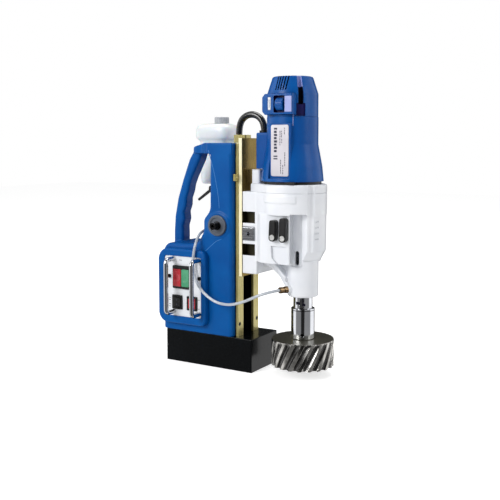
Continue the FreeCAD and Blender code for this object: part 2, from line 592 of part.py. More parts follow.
# ---------------------------------------------------------------- gearbox casting
CARR_X0 = PLATE_X0 + PLATE_T
CARR_X1 = 113.0
carriage = box(CARR_X0, CARR_X1, -38, 38, 207, CASE_Z1)
drum = cyl(CASE_X, 0, 335, CASE_R, CASE_Z1 - 335)
web = plan_prism([(CARR_X1 - 2, -38, 0), (150, -58, 20), (CASE_X, -52, 0), (CASE_X, 52, 0), (150, 58, 20),
                  (CARR_X1 - 2, 38, 0)], 335, CASE_Z1)
low_block = plan_prism([(CARR_X1 - 4, -34, 0), (128, -52, 10), (148, -58, 14), (204, -58, 4), (204, 0, 0),
                        (226, 0, 0), (226, 40, 14), (190, 60, 20), (148, 58, 16), (CARR_X1 - 4, 34, 0)],
                       CASE_Z0 - 8, 336)
low_block = soften(low_block, 16.0, lambda e: at_level(CASE_Z0 - 8)(e) and e.Length > 15)
front = cyl(SPINDLE_X, 0, 262, 47, 74).fuse(cone(SPINDLE_X, 0, CASE_Z0, 37, 47, 19))
quill = cyl(SPINDLE_X, 0, QUILL_Z0, QUILL_R + 1.5, 336 - QUILL_Z0)
quill = soften(quill, 4.0, at_level(QUILL_Z0))
recess = plan_prism([(204, -90, 0), (204, -63, 0), (SPINDLE_X - 13, -34, 0), (SPINDLE_X - 13, -10, 0),
                     (SPINDLE_X + 10, -10, 0), (SPINDLE_X + 13.5, -33, 0), (SPINDLE_X + 27.5, -38, 0),
                     (SPINDLE_X + 38, -90, 0)], CASE_Z0 - 14, 338)
recess = recess.cut(cyl(SPINDLE_X, 0, CASE_Z0 - 20, QUILL_R - 2, 120))
web_low = side_prism([(CARR_X0 + 4, 221, 0), (128, 221, 14), (150, 204, 16), (SPINDLE_X - 32, 174, 0),
                      (SPINDLE_X - 20, 176, 0), (SPINDLE_X - 20, 250, 0), (CARR_X0 + 4, 250, 0)], -10, 10)
flange = side_prism([(CARR_X1 - 2, 252, 0), (CARR_X1 - 2, 262, 0), (134, 246, 20), (156, 226, 30),
                     (SPINDLE_X - 26, 204, 0), (SPINDLE_X - 26, 194, 0), (154, 217, 30), (131, 238, 20)], -27, 27)
FIT_Z = 181.0
fit_dir = V(-math.cos(math.radians(60)), -math.sin(math.radians(60)), 0)
nozzle_boss = Part.makeCylinder(8.5, 14, V(SPINDLE_X, 0, FIT_Z).add(V(fit_dir).multiply(QUILL_R - 6)), fit_dir)
case = fuse([carriage, drum, web, low_block, front, quill, web_low, flange, nozzle_boss])
windows = [box(CARR_X0 + 5, CARR_X1 - 9, -39, -22, 314, 337), box(CARR_X0 + 5, CARR_X1 - 9, -39, -22, 247, 269),
           box(CARR_X0 + 5, CARR_X1 - 9, 22, 39, 314, 337), box(CARR_X0 + 5, CARR_X1 - 9, 22, 39, 247, 269)]
CLAMP_Z0, CLAMP_Z1 = 277.0, 306.0
clamp_seat = box(CARR_X0, CARR_X1 - 5, -39, -20, CLAMP_Z0, CLAMP_Z1)
VALLEYS = [cyl(SPINDLE_X + 40.5, s * 38, 250, 10, 160) for s in (-1, 1)]
case = cut(case, windows + VALLEYS + [recess, clamp_seat])
slot = side_box(SPINDLE_X - 4.5, SPINDLE_X + 4.5, 232, 261, 4.4, -QUILL_R - 4, -SPINDLE_R)
case = case.cut(slot)
# gear rooms: lower stage (layshaft to spindle), upper stage (motor to layshaft)
LAY_X = 150.0
ARM_X = MOTOR_X
LOW_Z, UP_Z = 343.0, 361.0
ARM_TEETH, LAY_TEETH = 9, 26
SMALL_TEETH, BIG_TEETH = 14, 38
M_ARM = 2 * (ARM_X - LAY_X) / (ARM_TEETH + LAY_TEETH)
M_OUT = 2 * (SPINDLE_X - LAY_X) / (SMALL_TEETH + BIG_TEETH)
oil_room = plan_box(122, 172, -43, 43, 8, CASE_Z0 + 3, LOW_Z - 12)
bolt_room = box(CARR_X0 + 11, CARR_X1 - 10, -17, 17, 216, CASE_Z1 - 8)
case = cut(case, [oil_room, bolt_room])
rooms = [cyl(SPINDLE_X, 0, LOW_Z - 1.5, M_OUT * (BIG_TEETH / 2 + 1) + 0.8, 17),
         cyl(LAY_X, 0, LOW_Z - 1.5, M_OUT * (SMALL_TEETH / 2 + 1) + 1.2, 17.5),
         cyl(LAY_X, 0, UP_Z - 2.5, M_ARM * (LAY_TEETH / 2 + 1) + 1.2, 30),
         cyl(ARM_X, 0, UP_Z - 2.5, M_ARM * (ARM_TEETH / 2 + 1) + 1.2, 30),
         cyl(LAY_X, 0, LOW_Z - 12, 6.0, 20), cyl(SPINDLE_X, 0, LOW_Z, 14, 60)]
case = cut(case, rooms)
case = case.cut(cyl(SPINDLE_X, 0, QUILL_Z0 - 1, BEARING_R, 30))
case = case.cut(cyl(SPINDLE_X, 0, QUILL_Z0 + 20, SPINDLE_R + SPINDLE_ROOM, 160))
knob_seats = [(166.8, 291.0), (190.0, 290.0)]
case = cut(case, [cyl(x, -60, z, 3.1, 16, (0, 1, 0)) for x, z in knob_seats])
save("gearbox_housing", case.removeSplitter())

cover = cyl(CASE_X, 0, CASE_Z1, CASE_R, COVER_Z1 - CASE_Z1)
cover = cover.fuse(plan_prism([(CARR_X0 + 12, -26, 6), (150, -58, 16), (CASE_X, -52, 0), (CASE_X, 52, 0),
                               (150, 58, 16), (CARR_X0 + 12, 26, 6)], CASE_Z1, COVER_Z1))
cover = soften(cover.removeSplitter(), 4.0, at_level(COVER_Z1))
tower = plan_box(CARR_X0 + 12, MOTOR_X - 66, -22, 22, 5, COVER_Z1 - 1, 425.5)
cover = cut(cover.fuse(tower), VALLEYS).removeSplitter()
cover = cut(cover, [cyl(ARM_X, 0, CASE_Z1 - 1, 8.6, 30), cyl(LAY_X, 0, CASE_Z1 - 1, 6.0, 10),
                    cyl(SPINDLE_X, 0, CASE_Z1 - 1, 12.04, 12)])
save("gearbox_cover", cover)

clamp = box(CARR_X0 + 0.2, CARR_X1 - 5.2, -40.5, -20.2, CLAMP_Z0 + 0.2, CLAMP_Z1 - 0.2)
clamp = soften(clamp, 2.0, lambda e: e.CenterOfMass.y < -40.4 and e.Length > 15)
clamp = clamp.cut(cyl(CARR_X0 + 15, -42, (CLAMP_Z0 + CLAMP_Z1) / 2, 4.2, 12, (0, 1, 0)))
save("clamp_block", clamp)

spacer = tube(ARM_X, 0, COVER_Z1, 60, 22, MOTOR_Z0 - COVER_Z1)
spacer = spacer.fuse(box(ARM_X + 14, ARM_X + 34, -61, -50, COVER_Z1, MOTOR_Z0))
save("spacer_ring", spacer.removeSplitter())

# ---------------------------------------------------------------- motor
flare = cone(MOTOR_X, 0, MOTOR_Z0, 64.5, 61.5, 30).fuse(cone(MOTOR_X, 0, MOTOR_Z0 + 30, 61.5, MOTOR_R, 45))
shell = flare.fuse(cyl(MOTOR_X, 0, MOTOR_Z0, MOTOR_R, SEAM_Z - MOTOR_Z0))
pad = box(MOTOR_X - 24, MOTOR_X + 24, -MOTOR_R - 1.0, -20, 411, 520)
shell = shell.fuse(pad).cut(box(MOTOR_X - 24, MOTOR_X + 24, -90, -MOTOR_R - 1.0, 409, 522)).removeSplitter()
shell = shell.cut(cyl(MOTOR_X, 0, MOTOR_Z0 + 12, STATOR_R + 0.5, SEAM_Z))
shell = shell.cut(cyl(MOTOR_X, 0, MOTOR_Z0 - 1, 16.04, 20))
screw_r = MOTOR_R - 4
shell = cut(shell, [cyl(MOTOR_X + screw_r * math.cos(math.radians(a)), screw_r * math.sin(math.radians(a)),
                        SEAM_Z - 18, 2.1, 30) for a in (45, 135, 225, 315)])
save("motor_case", shell)
crown = cone(MOTOR_X, 0, 580, MOTOR_R - 0.5, MOTOR_R - 12, MOTOR_TOP - 580)
crown = fuse([crown, cyl(MOTOR_X, 0, SEAM_Z, MOTOR_R - 0.5, 47)])
crown = soften(crown, 3.0, at_level(MOTOR_TOP))
CAP_IN = MOTOR_R - MOTOR_WALL
hollow = fuse([cyl(MOTOR_X, 0, SEAM_Z - 1, CAP_IN, 44), cone(MOTOR_X, 0, SEAM_Z + 43, CAP_IN, CAP_IN - 10, 30)])
crown = crown.cut(hollow)
bridge = fuse([box(MOTOR_X - CAP_IN - 1, MOTOR_X + CAP_IN + 1, -8, 8, SEAM_Z + 22, SEAM_Z + 38),
               cyl(MOTOR_X, 0, SEAM_Z + 20, 17, 20)])
bridge = bridge.common(cyl(MOTOR_X, 0, SEAM_Z, CAP_IN + 2, 60)).cut(cyl(MOTOR_X, 0, SEAM_Z + 10, 11.04, 40))
crown = crown.fuse(bridge)
vents = []
for k in range(5):
    vx = MOTOR_X - 17 + 5.2 * k
    vents.append(box(vx - 1.2, vx + 1.2, -MOTOR_R - 7, -CAP_IN + 16, 590, MOTOR_TOP + 1))
    vents.append(box(vx - 1.2, vx + 1.2, CAP_IN - 16, MOTOR_R + 7, 590, MOTOR_TOP + 1))
vents.append(box(MOTOR_X + 12, MOTOR_X + 70, -CAP_IN + 8, -CAP_IN + 18, 562, 594))
crown = cut(crown, vents)
MOD_X0, MOD_X1 = 149.0, 206.0
mod_seat = box(MOD_X0 - 2, MOD_X1 + 0.2, -80, -MOTOR_R + 12, 536.5, 579.5)
crown = crown.cut(mod_seat)
save("motor_cap", crown.removeSplitter())

# speed dial module on the near side of the cap
module = box(MOD_X0, MOD_X1, -MOTOR_R - 7, -MOTOR_R + 11.8, 537, 579)
module = soften(module, 2.5, lambda e: e.CenterOfMass.y < -MOTOR_R - 6.9 and e.Length > 15)
EAR_X0 = MOD_X0 - 13
ear = side_prism([(EAR_X0, 544, 3), (EAR_X0 + 6, 537, 3), (MOD_X0 + 2, 537, 0), (MOD_X0 + 2, 579, 0),
                  (EAR_X0 + 6, 579, 3), (EAR_X0, 572, 3)], -MOTOR_R - 3, -MOTOR_R + 4)
module = module.fuse(ear).removeSplitter()
DIAL_X, DIAL_Z = 177.5, 558.0
DIAL_T, DIAL_R = 17.0, 12.5
module = module.cut(side_box(DIAL_X - 13, DIAL_X + 12, 541, 575, 3, -MOTOR_R - 8, -MOTOR_R + 3))
DIAL_Y = -MOTOR_R - 0.2
dial = cyl(DIAL_X - DIAL_T / 2, DIAL_Y, DIAL_Z, DIAL_R, DIAL_T, (1, 0, 0))
dial = soften(dial, 2.0, lambda e: e.Length > 60)
notch_r = DIAL_R + 0.6
notches = [cyl(DIAL_X - DIAL_T, DIAL_Y + notch_r * math.cos(2 * math.pi * k / 20),
               DIAL_Z + notch_r * math.sin(2 * math.pi * k / 20), 1.0, 2 * DIAL_T, (1, 0, 0))
           for k in range(20)]
PIN_L = DIAL_T + 12
dial = cut(dial, notches).fuse(cyl(DIAL_X - PIN_L / 2, DIAL_Y, DIAL_Z, 1.96, PIN_L, (1, 0, 0)))
module_room = cyl(DIAL_X - DIAL_T / 2 - 0.6, DIAL_Y, DIAL_Z, DIAL_R + 0.6, DIAL_T + 1.2, (1, 0, 0))
module = module.cut(module_room).cut(cyl(DIAL_X - PIN_L / 2 - 0.5, DIAL_Y, DIAL_Z, 2.0, PIN_L + 1, (1, 0, 0)))
save("dial_module", module)
save("speed_dial", dial.removeSplitter())

jbox = plan_box(102, 140, -25, 25, 5, 427.5, 502)
jbox = soften(jbox, 3.0, at_level(502))
save("junction_box", jbox.cut(cyl(MOTOR_X, 0, 400, MOTOR_R + 0.05, 140)).cut(flare))
plate = box(MOTOR_X - 20, MOTOR_X + 20, -MOTOR_R - 2.0, -MOTOR_R - 1.0, 414, 517)
save("nameplate", soften(plate, 2.0, lambda e: abs(e.Length - 1.0) < 1e-3))

stator = tube(MOTOR_X, 0, 432, STATOR_R, ROTOR_R + AIR_GAP, 70)
stator = fuse([stator, tube(MOTOR_X, 0, 422, STATOR_R - 3, ROTOR_R + AIR_GAP + 1.5, 90)])
save("stator", stator)
bearings = [tube(MOTOR_X, 0, MOTOR_Z0 + 1, 16, 7.54, 10), tube(MOTOR_X, 0, SEAM_Z + 26, 11, 5.04, 8)]
bearings.append(tube(SPINDLE_X, 0, QUILL_Z0 + 4, BEARING_R, SPINDLE_R + 0.04, 15))
save("bearings", group(bearings))
brushes = []
for s in (-1, 1):
    holder = cyl(MOTOR_X, s * 20.4, 520, 6, STATOR_R - 22, (0, s, 0))
    holder = holder.cut(box(MOTOR_X - 3, MOTOR_X + 3, s * 20 - 6, s * 20 + 6, 516, 524))
    carbon = box(MOTOR_X - 2.8, MOTOR_X + 2.8, min(s * 16.4, s * 26), max(s * 16.4, s * 26), 516.4, 523.6)
    brushes.append(holder.fuse(carbon))
save("brush_holders", group(brushes))

armature = fuse([cyl(ARM_X, 0, UP_Z, 5, 205), cyl(ARM_X, 0, CASE_Z1, 7.5, 44), cyl(ARM_X, 0, 436, ROTOR_R, 62),
                 cyl(ARM_X, 0, 508, 16, 22)])
gear = spur_gear(M_ARM, ARM_TEETH, 0.3, 18)
gear.translate(V(ARM_X, 0, UP_Z))
save("armature", armature.fuse(gear).removeSplitter())
fan = tube(ARM_X, 0, SEAM_Z + 4, 12, 5, 10)
blades = [fan]
for k in range(9):
    b = box(10, FAN_R, -1, 1, 0, 10)
    b.rotate(V(0, 0, 0), V(0, 0, 1), 40 * k)
    b.translate(V(ARM_X, 0, SEAM_Z + 4))
    blades.append(b)
blades.append(tube(ARM_X, 0, SEAM_Z + 2, FAN_R, 5, 2))
save("motor_fan", fuse(blades))
wheel = spur_gear(M_ARM, LAY_TEETH, 0.3, 15)
wheel.translate(V(LAY_X, 0, UP_Z))
small = spur_gear(M_OUT, SMALL_TEETH, 0.3, 14)
small.rotate(V(0, 0, 0), V(0, 0, 1), 180.0 / SMALL_TEETH)
small.translate(V(LAY_X, 0, LOW_Z))
lay = fuse([wheel, small, cyl(LAY_X, 0, LOW_Z - 11, 5.96, 56)])
save("layshaft", lay)

# ---------------------------------------------------------------- spindle and tooling
big = spur_gear(M_OUT, BIG_TEETH, 0.3, 14)
big.translate(V(SPINDLE_X, 0, LOW_Z))
spindle = fuse([cyl(SPINDLE_X, 0, 140, SPINDLE_R, LOW_Z - 140), big, cyl(SPINDLE_X, 0, LOW_Z, 12, 46)])
spindle = spindle.cut(cone(SPINDLE_X, 0, 139, 12.0, 10.0, 97)).cut(cyl(SPINDLE_X, 0, 230, 5.0, 36))
spindle = spindle.cut(box(SPINDLE_X - 3.6, SPINDLE_X + 3.6, -25, 25, 229, 262))
for a in (0, 180):
    notch = box(SPINDLE_X - 4, SPINDLE_X + 4, -SPINDLE_R - 1, -SPINDLE_R + 4, 139, 161)
    notch = notch.fuse(box(SPINDLE_X - 17, SPINDLE_X + 4, -SPINDLE_R - 1, -SPINDLE_R + 4, 149, 154))
    notch.rotate(V(SPINDLE_X, 0, 0), V(0, 0, 1), a + 20)
    spindle = spindle.cut(notch)
save("spindle", spindle.removeSplitter())
arbor = fuse([cyl(SPINDLE_X, 0, CUTTER_Z0 + CUTTER_H, ARBOR_R, 140 - CUTTER_Z0 - CUTTER_H),
              cone(SPINDLE_X, 0, 140, 11.8, 9.86, 94)])
arbor = soften(arbor, 2.0, at_level(CUTTER_Z0 + CUTTER_H))
SCREW_Z = 86.0
SHANK_R = 16.0
arbor = arbor.cut(cyl(SPINDLE_X, 0, CUTTER_Z0 + CUTTER_H - 1, SHANK_R, 46))
arbor = arbor.cut(cyl(SPINDLE_X, 0, 120, 4.4, 30))
screw_dir = V(math.sin(math.radians(25)), -math.cos(math.radians(25)), 0)
screw_at = V(SPINDLE_X, 0, SCREW_Z)
screw_hole = Part.makeCylinder(4.0, 40, screw_at, screw_dir)
save("arbor", arbor.cut(screw_hole))
grub = Part.makeCylinder(4.0, 7.5, screw_at.add(V(screw_dir).multiply(SHANK_R)), screw_dir)
grub = grub.cut(Part.makeCylinder(2.0, 5, screw_at.add(V(screw_dir).multiply(SHANK_R + 4)), screw_dir))
save("arbor_screw", grub)

cutter = tube(SPINDLE_X, 0, CUTTER_Z0, CUTTER_R, CUTTER_R - 8.5, CUTTER_H - 9)
cutter = cutter.fuse(tube(SPINDLE_X, 0, CUTTER_Z0 + CUTTER_H - 9.5, CUTTER_R - 0.5, 4.06, 9.5))
cutter = cutter.fuse(tube(SPINDLE_X, 0, CUTTER_Z0 + CUTTER_H - 2, SHANK_R - 0.05, 4.06, 44))
FLUTES = 20
wave = []
for k in range(FLUTES):
    gash = box(CUTTER_R - 4.0, CUTTER_R + 6, -3.6, 3.6, -12, CUTTER_H)
    gash.rotate(V(CUTTER_R, 0, 0), V(1, 0, 0), -27)
    gash.rotate(V(0, 0, 0), V(0, 0, 1), 360.0 * k / FLUTES)
    gash.translate(V(SPINDLE_X, 0, CUTTER_Z0))
    wave.append(gash)
below = box(SPINDLE_X - 90, SPINDLE_X + 90, -90, 90, -60, CUTTER_Z0 + CUTTER_H - 8)
cutter = cutter.cut(group(wave).common(below))
save("annular_cutter", cutter)
pin = fuse([cyl(SPINDLE_X, 0, CUTTER_Z0 - 3, 4.0, 108), cyl(SPINDLE_X, 0, 122, 4.3, 6)])
pin = soften(pin, 1.5, at_level(CUTTER_Z0 - 3))
save("pilot_pin", pin)

# ---------------------------------------------------------------- gear knobs
for name, (kx, kz), top in (("gear_knob_left", knob_seats[0], 326.0), ("gear_knob_right", knob_seats[1], 331.0)):
    knob = side_prism([(kx - 8, kz - 8, 7), (kx + 8, kz - 8, 7), (kx + 8.5, top, 5), (kx - 6.5, top, 5)], -71, -58.4)
    knob = soften(knob, 2.0, lambda e: all(abs(v.Y + 71) < 1e-3 for v in e.Vertexes))
    knob = knob.cut(cyl(kx, -72, kz, 3.05, 20, (0, 1, 0))).cut(cyl(kx, -72, kz, 6.0, 5.2, (0, 1, 0)))
    save(name, knob)
pivots = []
for kx, kz in knob_seats:
    p = cyl(kx, -70.5, kz, 5.6, 3.5, (0, 1, 0)).fuse(cyl(kx, -67, kz, 3.0, 22, (0, 1, 0)))
    pivots.append(p.cut(box(kx - 7, kx + 7, -71, -69.3, kz - 0.8, kz + 0.8)))
save("knob_pivots", group(pivots))

# ---------------------------------------------------------------- hose fitting
fit_at = V(SPINDLE_X, 0, FIT_Z).add(V(fit_dir).multiply(QUILL_R + 8))


def along(r, start, length):
    return Part.makeCylinder(r, length, fit_at.add(V(fit_dir).multiply(start)), fit_dir)


fitting = fuse([along(7.0, 0, 7), along(5.2, 7, 4), along(6.6, 11, 7), along(BARB_R, 18, 9)])
save("hose_fitting", fitting.cut(along(BARB_R - 0.8, -1, 34)))
fit_end = fit_at.add(V(fit_dir).multiply(18.8))

# ---------------------------------------------------------------- conduit over the slide
CON_X = 46.6
JB_X = 109.0
lower_gland = plan_box(CON_X - 7.2, PLATE_X0, -12, 12, 3, T_TOP, T_TOP + 17)
lower_gland = lower_gland.cut(cyl(CON_X, 0, T_TOP - 1, CONDUIT_D / 2 - 2, 20))
upper_gland = tube(JB_X, 0, 502, 10.5, CONDUIT_D / 2 + 0.05, 5.0)
save("conduit_glands", group([lower_gland, upper_gland]))
ARC_R = (JB_X - CON_X) / 2
ARC_Z = 509.5
k = ARC_R * math.tan(math.radians(22.5))
conduit_pts = [(CON_X, 0, T_TOP + 17), (CON_X, 0, ARC_Z + k), (CON_X + ARC_R - k, 0, ARC_Z + ARC_R),
               (JB_X - ARC_R + k, 0, ARC_Z + ARC_R), (JB_X, 0, ARC_Z + k), (JB_X, 0, 502.0)]
save("motor_conduit", cord(conduit_pts, CONDUIT_D, "motor_conduit"))

# ---------------------------------------------------------------- coolant hose
hose_pts = [(TAP_X, TAP_Y, TANK_Z0 - 20.8), (TAP_X + 1, TAP_Y - 3, 334), (-54, 58, 303), (-37, 18, 288),
            (-25, -22, 293), (-20, -56, 287), (-18, -74, 266), (-23, -75, 240), (-24, -75, 206),
            (-8, -75, 172), (27, -76, 148), (66, -77, 143), (104, -79, 154), (139, -78, 171),
            (161, -70, 179), (fit_end.x, fit_end.y, fit_end.z)]
hose = cord(hose_pts, HOSE_D, "coolant_hose")
barbs = [along(BARB_R, 18, 9), cyl(TAP_X, TAP_Y, TANK_Z0 - 20, BARB_R, 12, (0, 0, -1))]
barbs.append(cone(TAP_X, TAP_Y, TANK_Z0 - 26, BARB_R + 0.6, BARB_R, 6, (0, 0, -1)))
save("coolant_hose", cut(hose, barbs))
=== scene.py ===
import json
import math
from collections import namedtuple

import bmesh
import bpy
from mathutils import Matrix, Vector


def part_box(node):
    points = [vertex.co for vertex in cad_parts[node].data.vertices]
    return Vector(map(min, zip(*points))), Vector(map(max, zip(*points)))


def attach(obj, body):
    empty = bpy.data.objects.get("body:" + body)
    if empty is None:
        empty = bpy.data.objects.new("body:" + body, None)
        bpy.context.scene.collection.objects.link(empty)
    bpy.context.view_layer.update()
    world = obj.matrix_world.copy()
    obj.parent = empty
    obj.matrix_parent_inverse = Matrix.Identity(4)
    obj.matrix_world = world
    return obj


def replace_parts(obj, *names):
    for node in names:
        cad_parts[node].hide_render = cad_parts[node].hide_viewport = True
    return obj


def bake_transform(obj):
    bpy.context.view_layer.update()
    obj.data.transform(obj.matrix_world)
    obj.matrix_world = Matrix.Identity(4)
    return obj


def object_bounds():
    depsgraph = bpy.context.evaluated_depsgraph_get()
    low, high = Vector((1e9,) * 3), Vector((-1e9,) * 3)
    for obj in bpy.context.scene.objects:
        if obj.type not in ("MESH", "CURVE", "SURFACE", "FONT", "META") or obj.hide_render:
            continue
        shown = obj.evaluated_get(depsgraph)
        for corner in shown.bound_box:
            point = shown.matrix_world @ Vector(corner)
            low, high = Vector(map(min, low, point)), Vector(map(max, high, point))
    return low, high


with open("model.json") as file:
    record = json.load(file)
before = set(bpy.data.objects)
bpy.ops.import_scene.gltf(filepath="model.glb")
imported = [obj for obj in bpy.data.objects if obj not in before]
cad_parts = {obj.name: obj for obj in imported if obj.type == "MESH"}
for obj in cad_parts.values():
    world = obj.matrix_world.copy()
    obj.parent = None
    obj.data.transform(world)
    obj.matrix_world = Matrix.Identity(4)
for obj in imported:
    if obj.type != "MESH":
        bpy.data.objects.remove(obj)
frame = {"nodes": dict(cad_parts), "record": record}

UP = Vector((0, 0, 1))
cad_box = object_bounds()


# ---------------------------------------------------------------- places taken from the frame
Span = namedtuple("Span", "low high mid")


def span(node):
    """Corners and middle of a node's box."""
    low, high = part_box(node)
    return Span(low, high, (low + high) / 2)


stand_at = span("stand_housing")
cap_at = span("motor_cap")
plate_at = span("nameplate")
panel_at = span("control_panel")
tank_at = span("coolant_tank")
cutter_at = span("annular_cutter")
gearbox_at = span("gearbox_housing")
feed_at = span("feed_shaft")
spindle_at = span("spindle")
dial_at = span("dial_module")
DRUM = Vector((0.181, 0, 0))
DRUM_R = gearbox_at.high.x - DRUM.x


# ---------------------------------------------------------------- materials
# Places of a colour mix node's sockets in its lists
MIX_SHARE, MIX_FIRST, MIX_SECOND = 0, 6, 7
MIX_RESULT = 2


class Graph:
    """A node tree, with short calls for the nodes used here."""

    def __init__(self, owner):
        owner.use_nodes = True
        self.nodes = owner.node_tree.nodes
        self.links = owner.node_tree.links

    def add(self, kind, **inputs):
        """New node with the named inputs set or linked."""
        node = self.nodes.new(kind)
        for key, value in inputs.items():
            self.feed(node.inputs[key.replace("_", " ")], value)
        return node

    def feed(self, socket, value):
        """Links a socket, or sets a plain value."""
        if isinstance(value, bpy.types.NodeSocket):
            self.links.new(value, socket)
        else:
            socket.default_value = value

    def place(self, stretch):
        """Object coordinates, stretched."""
        coords = self.nodes.new("ShaderNodeTexCoord")
        mapping = self.nodes.new("ShaderNodeMapping")
        mapping.inputs["Scale"].default_value = stretch
        self.links.new(coords.outputs["Object"], mapping.inputs["Vector"])
        return mapping.outputs["Vector"]

    def noise(self, where, scale, detail=4.0, rough=0.55):
        """Noise from 0 to 1, in waves per metre."""
        node = self.add("ShaderNodeTexNoise", Vector=where, Scale=scale, Detail=detail, Roughness=rough)
        return node.outputs["Fac"]

    def spread(self, value, low, high, to_low, to_high):
        """Moves a value from one range to another and holds it there."""
        node = self.nodes.new("ShaderNodeMapRange")
        self.links.new(value, node.inputs["Value"])
        node.inputs["From Min"].default_value = low
        node.inputs["From Max"].default_value = high
        node.inputs["To Min"].default_value = to_low
        node.inputs["To Max"].default_value = to_high
        return node.outputs["Result"]

    def blend(self, share, first, second):
        """Mix of two colours."""
        node = self.nodes.new("ShaderNodeMix")
        node.data_type = "RGBA"
        self.feed(node.inputs[MIX_SHARE], share)
        self.feed(node.inputs[MIX_FIRST], first)
        self.feed(node.inputs[MIX_SECOND], second)
        return node.outputs[MIX_RESULT]

    def choose(self, share, first, second):
        """One shader or the other."""
        node = self.nodes.new("ShaderNodeMixShader")
        for socket, value in zip(node.inputs, (share, first, second)):
            self.links.new(value, socket)
        return node.outputs[0]

    def times(self, first, second):
        """Product of two values."""
        node = self.nodes.new("ShaderNodeMath")
        node.operation = "MULTIPLY"
        self.feed(node.inputs[0], first)
        self.feed(node.inputs[1], second)
        return node.outputs[0]

    def rounded_normal(self, radius):
        """Normal of the surface as if its edges had this radius."""
        node = self.nodes.new("ShaderNodeBevel")
        node.samples = 4
        node.inputs["Radius"].default_value = radius
        return node.outputs["Normal"]

    def edges(self, normal):
        """1 on an outer or inner edge, 0 on the flat."""
        geometry = self.nodes.new("ShaderNodeNewGeometry")
        dot = self.nodes.new("ShaderNodeVectorMath")
        dot.operation = "DOT_PRODUCT"
        self.links.new(geometry.outputs["Normal"], dot.inputs[0])
        self.links.new(normal, dot.inputs[1])
        return self.spread(dot.outputs["Value"], 0.995, 0.86, 0.0, 1.0)


def rgb(r, g, b):
    """Screen colour, 0 to 255, as linear light."""
    def linear(v):
        v = v / 255
        return v / 12.92 if v <= 0.04045 else ((v + 0.055) / 1.055) ** 2.4
    return (linear(r), linear(g), linear(b), 1.0)


def surface(name, colour, shade, roughness, spread=0.08, metal=0.0, grain=900.0, bump=0.1, depth=0.0003,
            patch=14.0, stretch=(1, 1, 1), edge=0.0006, edge_wear_and_highlight=None, edge_wear_and_highlight_share=0.5, **fixed):
    """Colour drifts between two tones, grain varies gloss and height, and edges may be painted a lighter
    colour that stands for both wear and a painted highlight.
    """
    material = bpy.data.materials.new(name)
    g = Graph(material)
    shader = g.nodes["Principled BSDF"]
    where = g.place(stretch)
    even = g.place((1, 1, 1))
    drift = g.noise(even, patch, 3.0)
    fine = g.noise(where, grain, 5.0)
    tone = g.blend(g.spread(drift, 0.35, 0.65, 0.0, 1.0), colour, shade)
    soft = g.rounded_normal(edge)
    # Lighter colour in patches along the edges: partly wear, partly a painted highlight on edges that catch
    # the light.
    if edge_wear_and_highlight is not None:
        rubbed_and_lit = g.spread(g.noise(even, 160.0, 4.0), 0.42, 0.62, 0.0, edge_wear_and_highlight_share)
        tone = g.blend(g.times(g.edges(soft), rubbed_and_lit), tone, edge_wear_and_highlight)
    g.feed(shader.inputs["Base Color"], tone)
    low, high = max(0.02, roughness - spread), min(1.0, roughness + spread)
    g.feed(shader.inputs["Roughness"], g.spread(fine, 0.3, 0.7, low, high))
    height = g.add("ShaderNodeBump", Strength=bump, Distance=depth, Height=fine, Normal=soft)
    g.feed(shader.inputs["Normal"], height.outputs["Normal"])
    shader.inputs["Metallic"].default_value = metal
    for key, value in fixed.items():
        shader.inputs[key.replace("_", " ")].default_value = value
    return material


BRUSHED_UP = (1, 1, 0.015)
TURNED = (0.03, 0.03, 1)

# Each finish below that has an edge colour gets it painted along its edges. On the blue paint and plastics,
# the red and green buttons, the white casting and the gold it is a lighter copy of the finish's own colour,
# a painted highlight. On the black, steel and brass finishes it stands for both rubbed metal and a painted
# highlight.
blue_paint = surface("blue_paint", rgb(0, 87, 160), rgb(0, 77, 149), 0.36, 0.06, grain=1500, bump=0.22,
                     depth=0.00025, edge=0.0012, edge_wear_and_highlight=rgb(60, 120, 184), edge_wear_and_highlight_share=0.3, Coat_Weight=0.06,
                     Coat_Roughness=0.14, Specular_IOR_Level=0.12)
# Lighter blue of the stand's raised folds: a painted highlight on their lit edge.
crease_highlight_blue = surface("crease_highlight_blue", rgb(46, 122, 192), rgb(34, 108, 180), 0.34, grain=1500, bump=0.2)
blue_plastic = surface("blue_plastic", rgb(0, 82, 156), rgb(0, 72, 146), 0.3, 0.06, grain=2600, bump=0.3,
                       depth=0.00018, edge=0.0012, edge_wear_and_highlight=rgb(84, 128, 205), edge_wear_and_highlight_share=0.35, Coat_Weight=0.08,
                       Coat_Roughness=0.22, Specular_IOR_Level=0.2)
# Dark blue painted shade for the insides of the cap's window, the dial's seat and the wheel's slot.
deep_blue_shade = surface("deep_blue_painted_shade", rgb(18, 16, 84), rgb(12, 12, 66), 0.45, grain=1800, bump=0.2,
                    Specular_IOR_Level=0.2)
# Near-black painted shade for the vents, the slot beside the dial and the spindle's quick-change slots.
vent_painted_shade = surface("vent_painted_shade", rgb(10, 10, 34), rgb(6, 6, 24), 0.6, grain=900, Specular_IOR_Level=0.1)
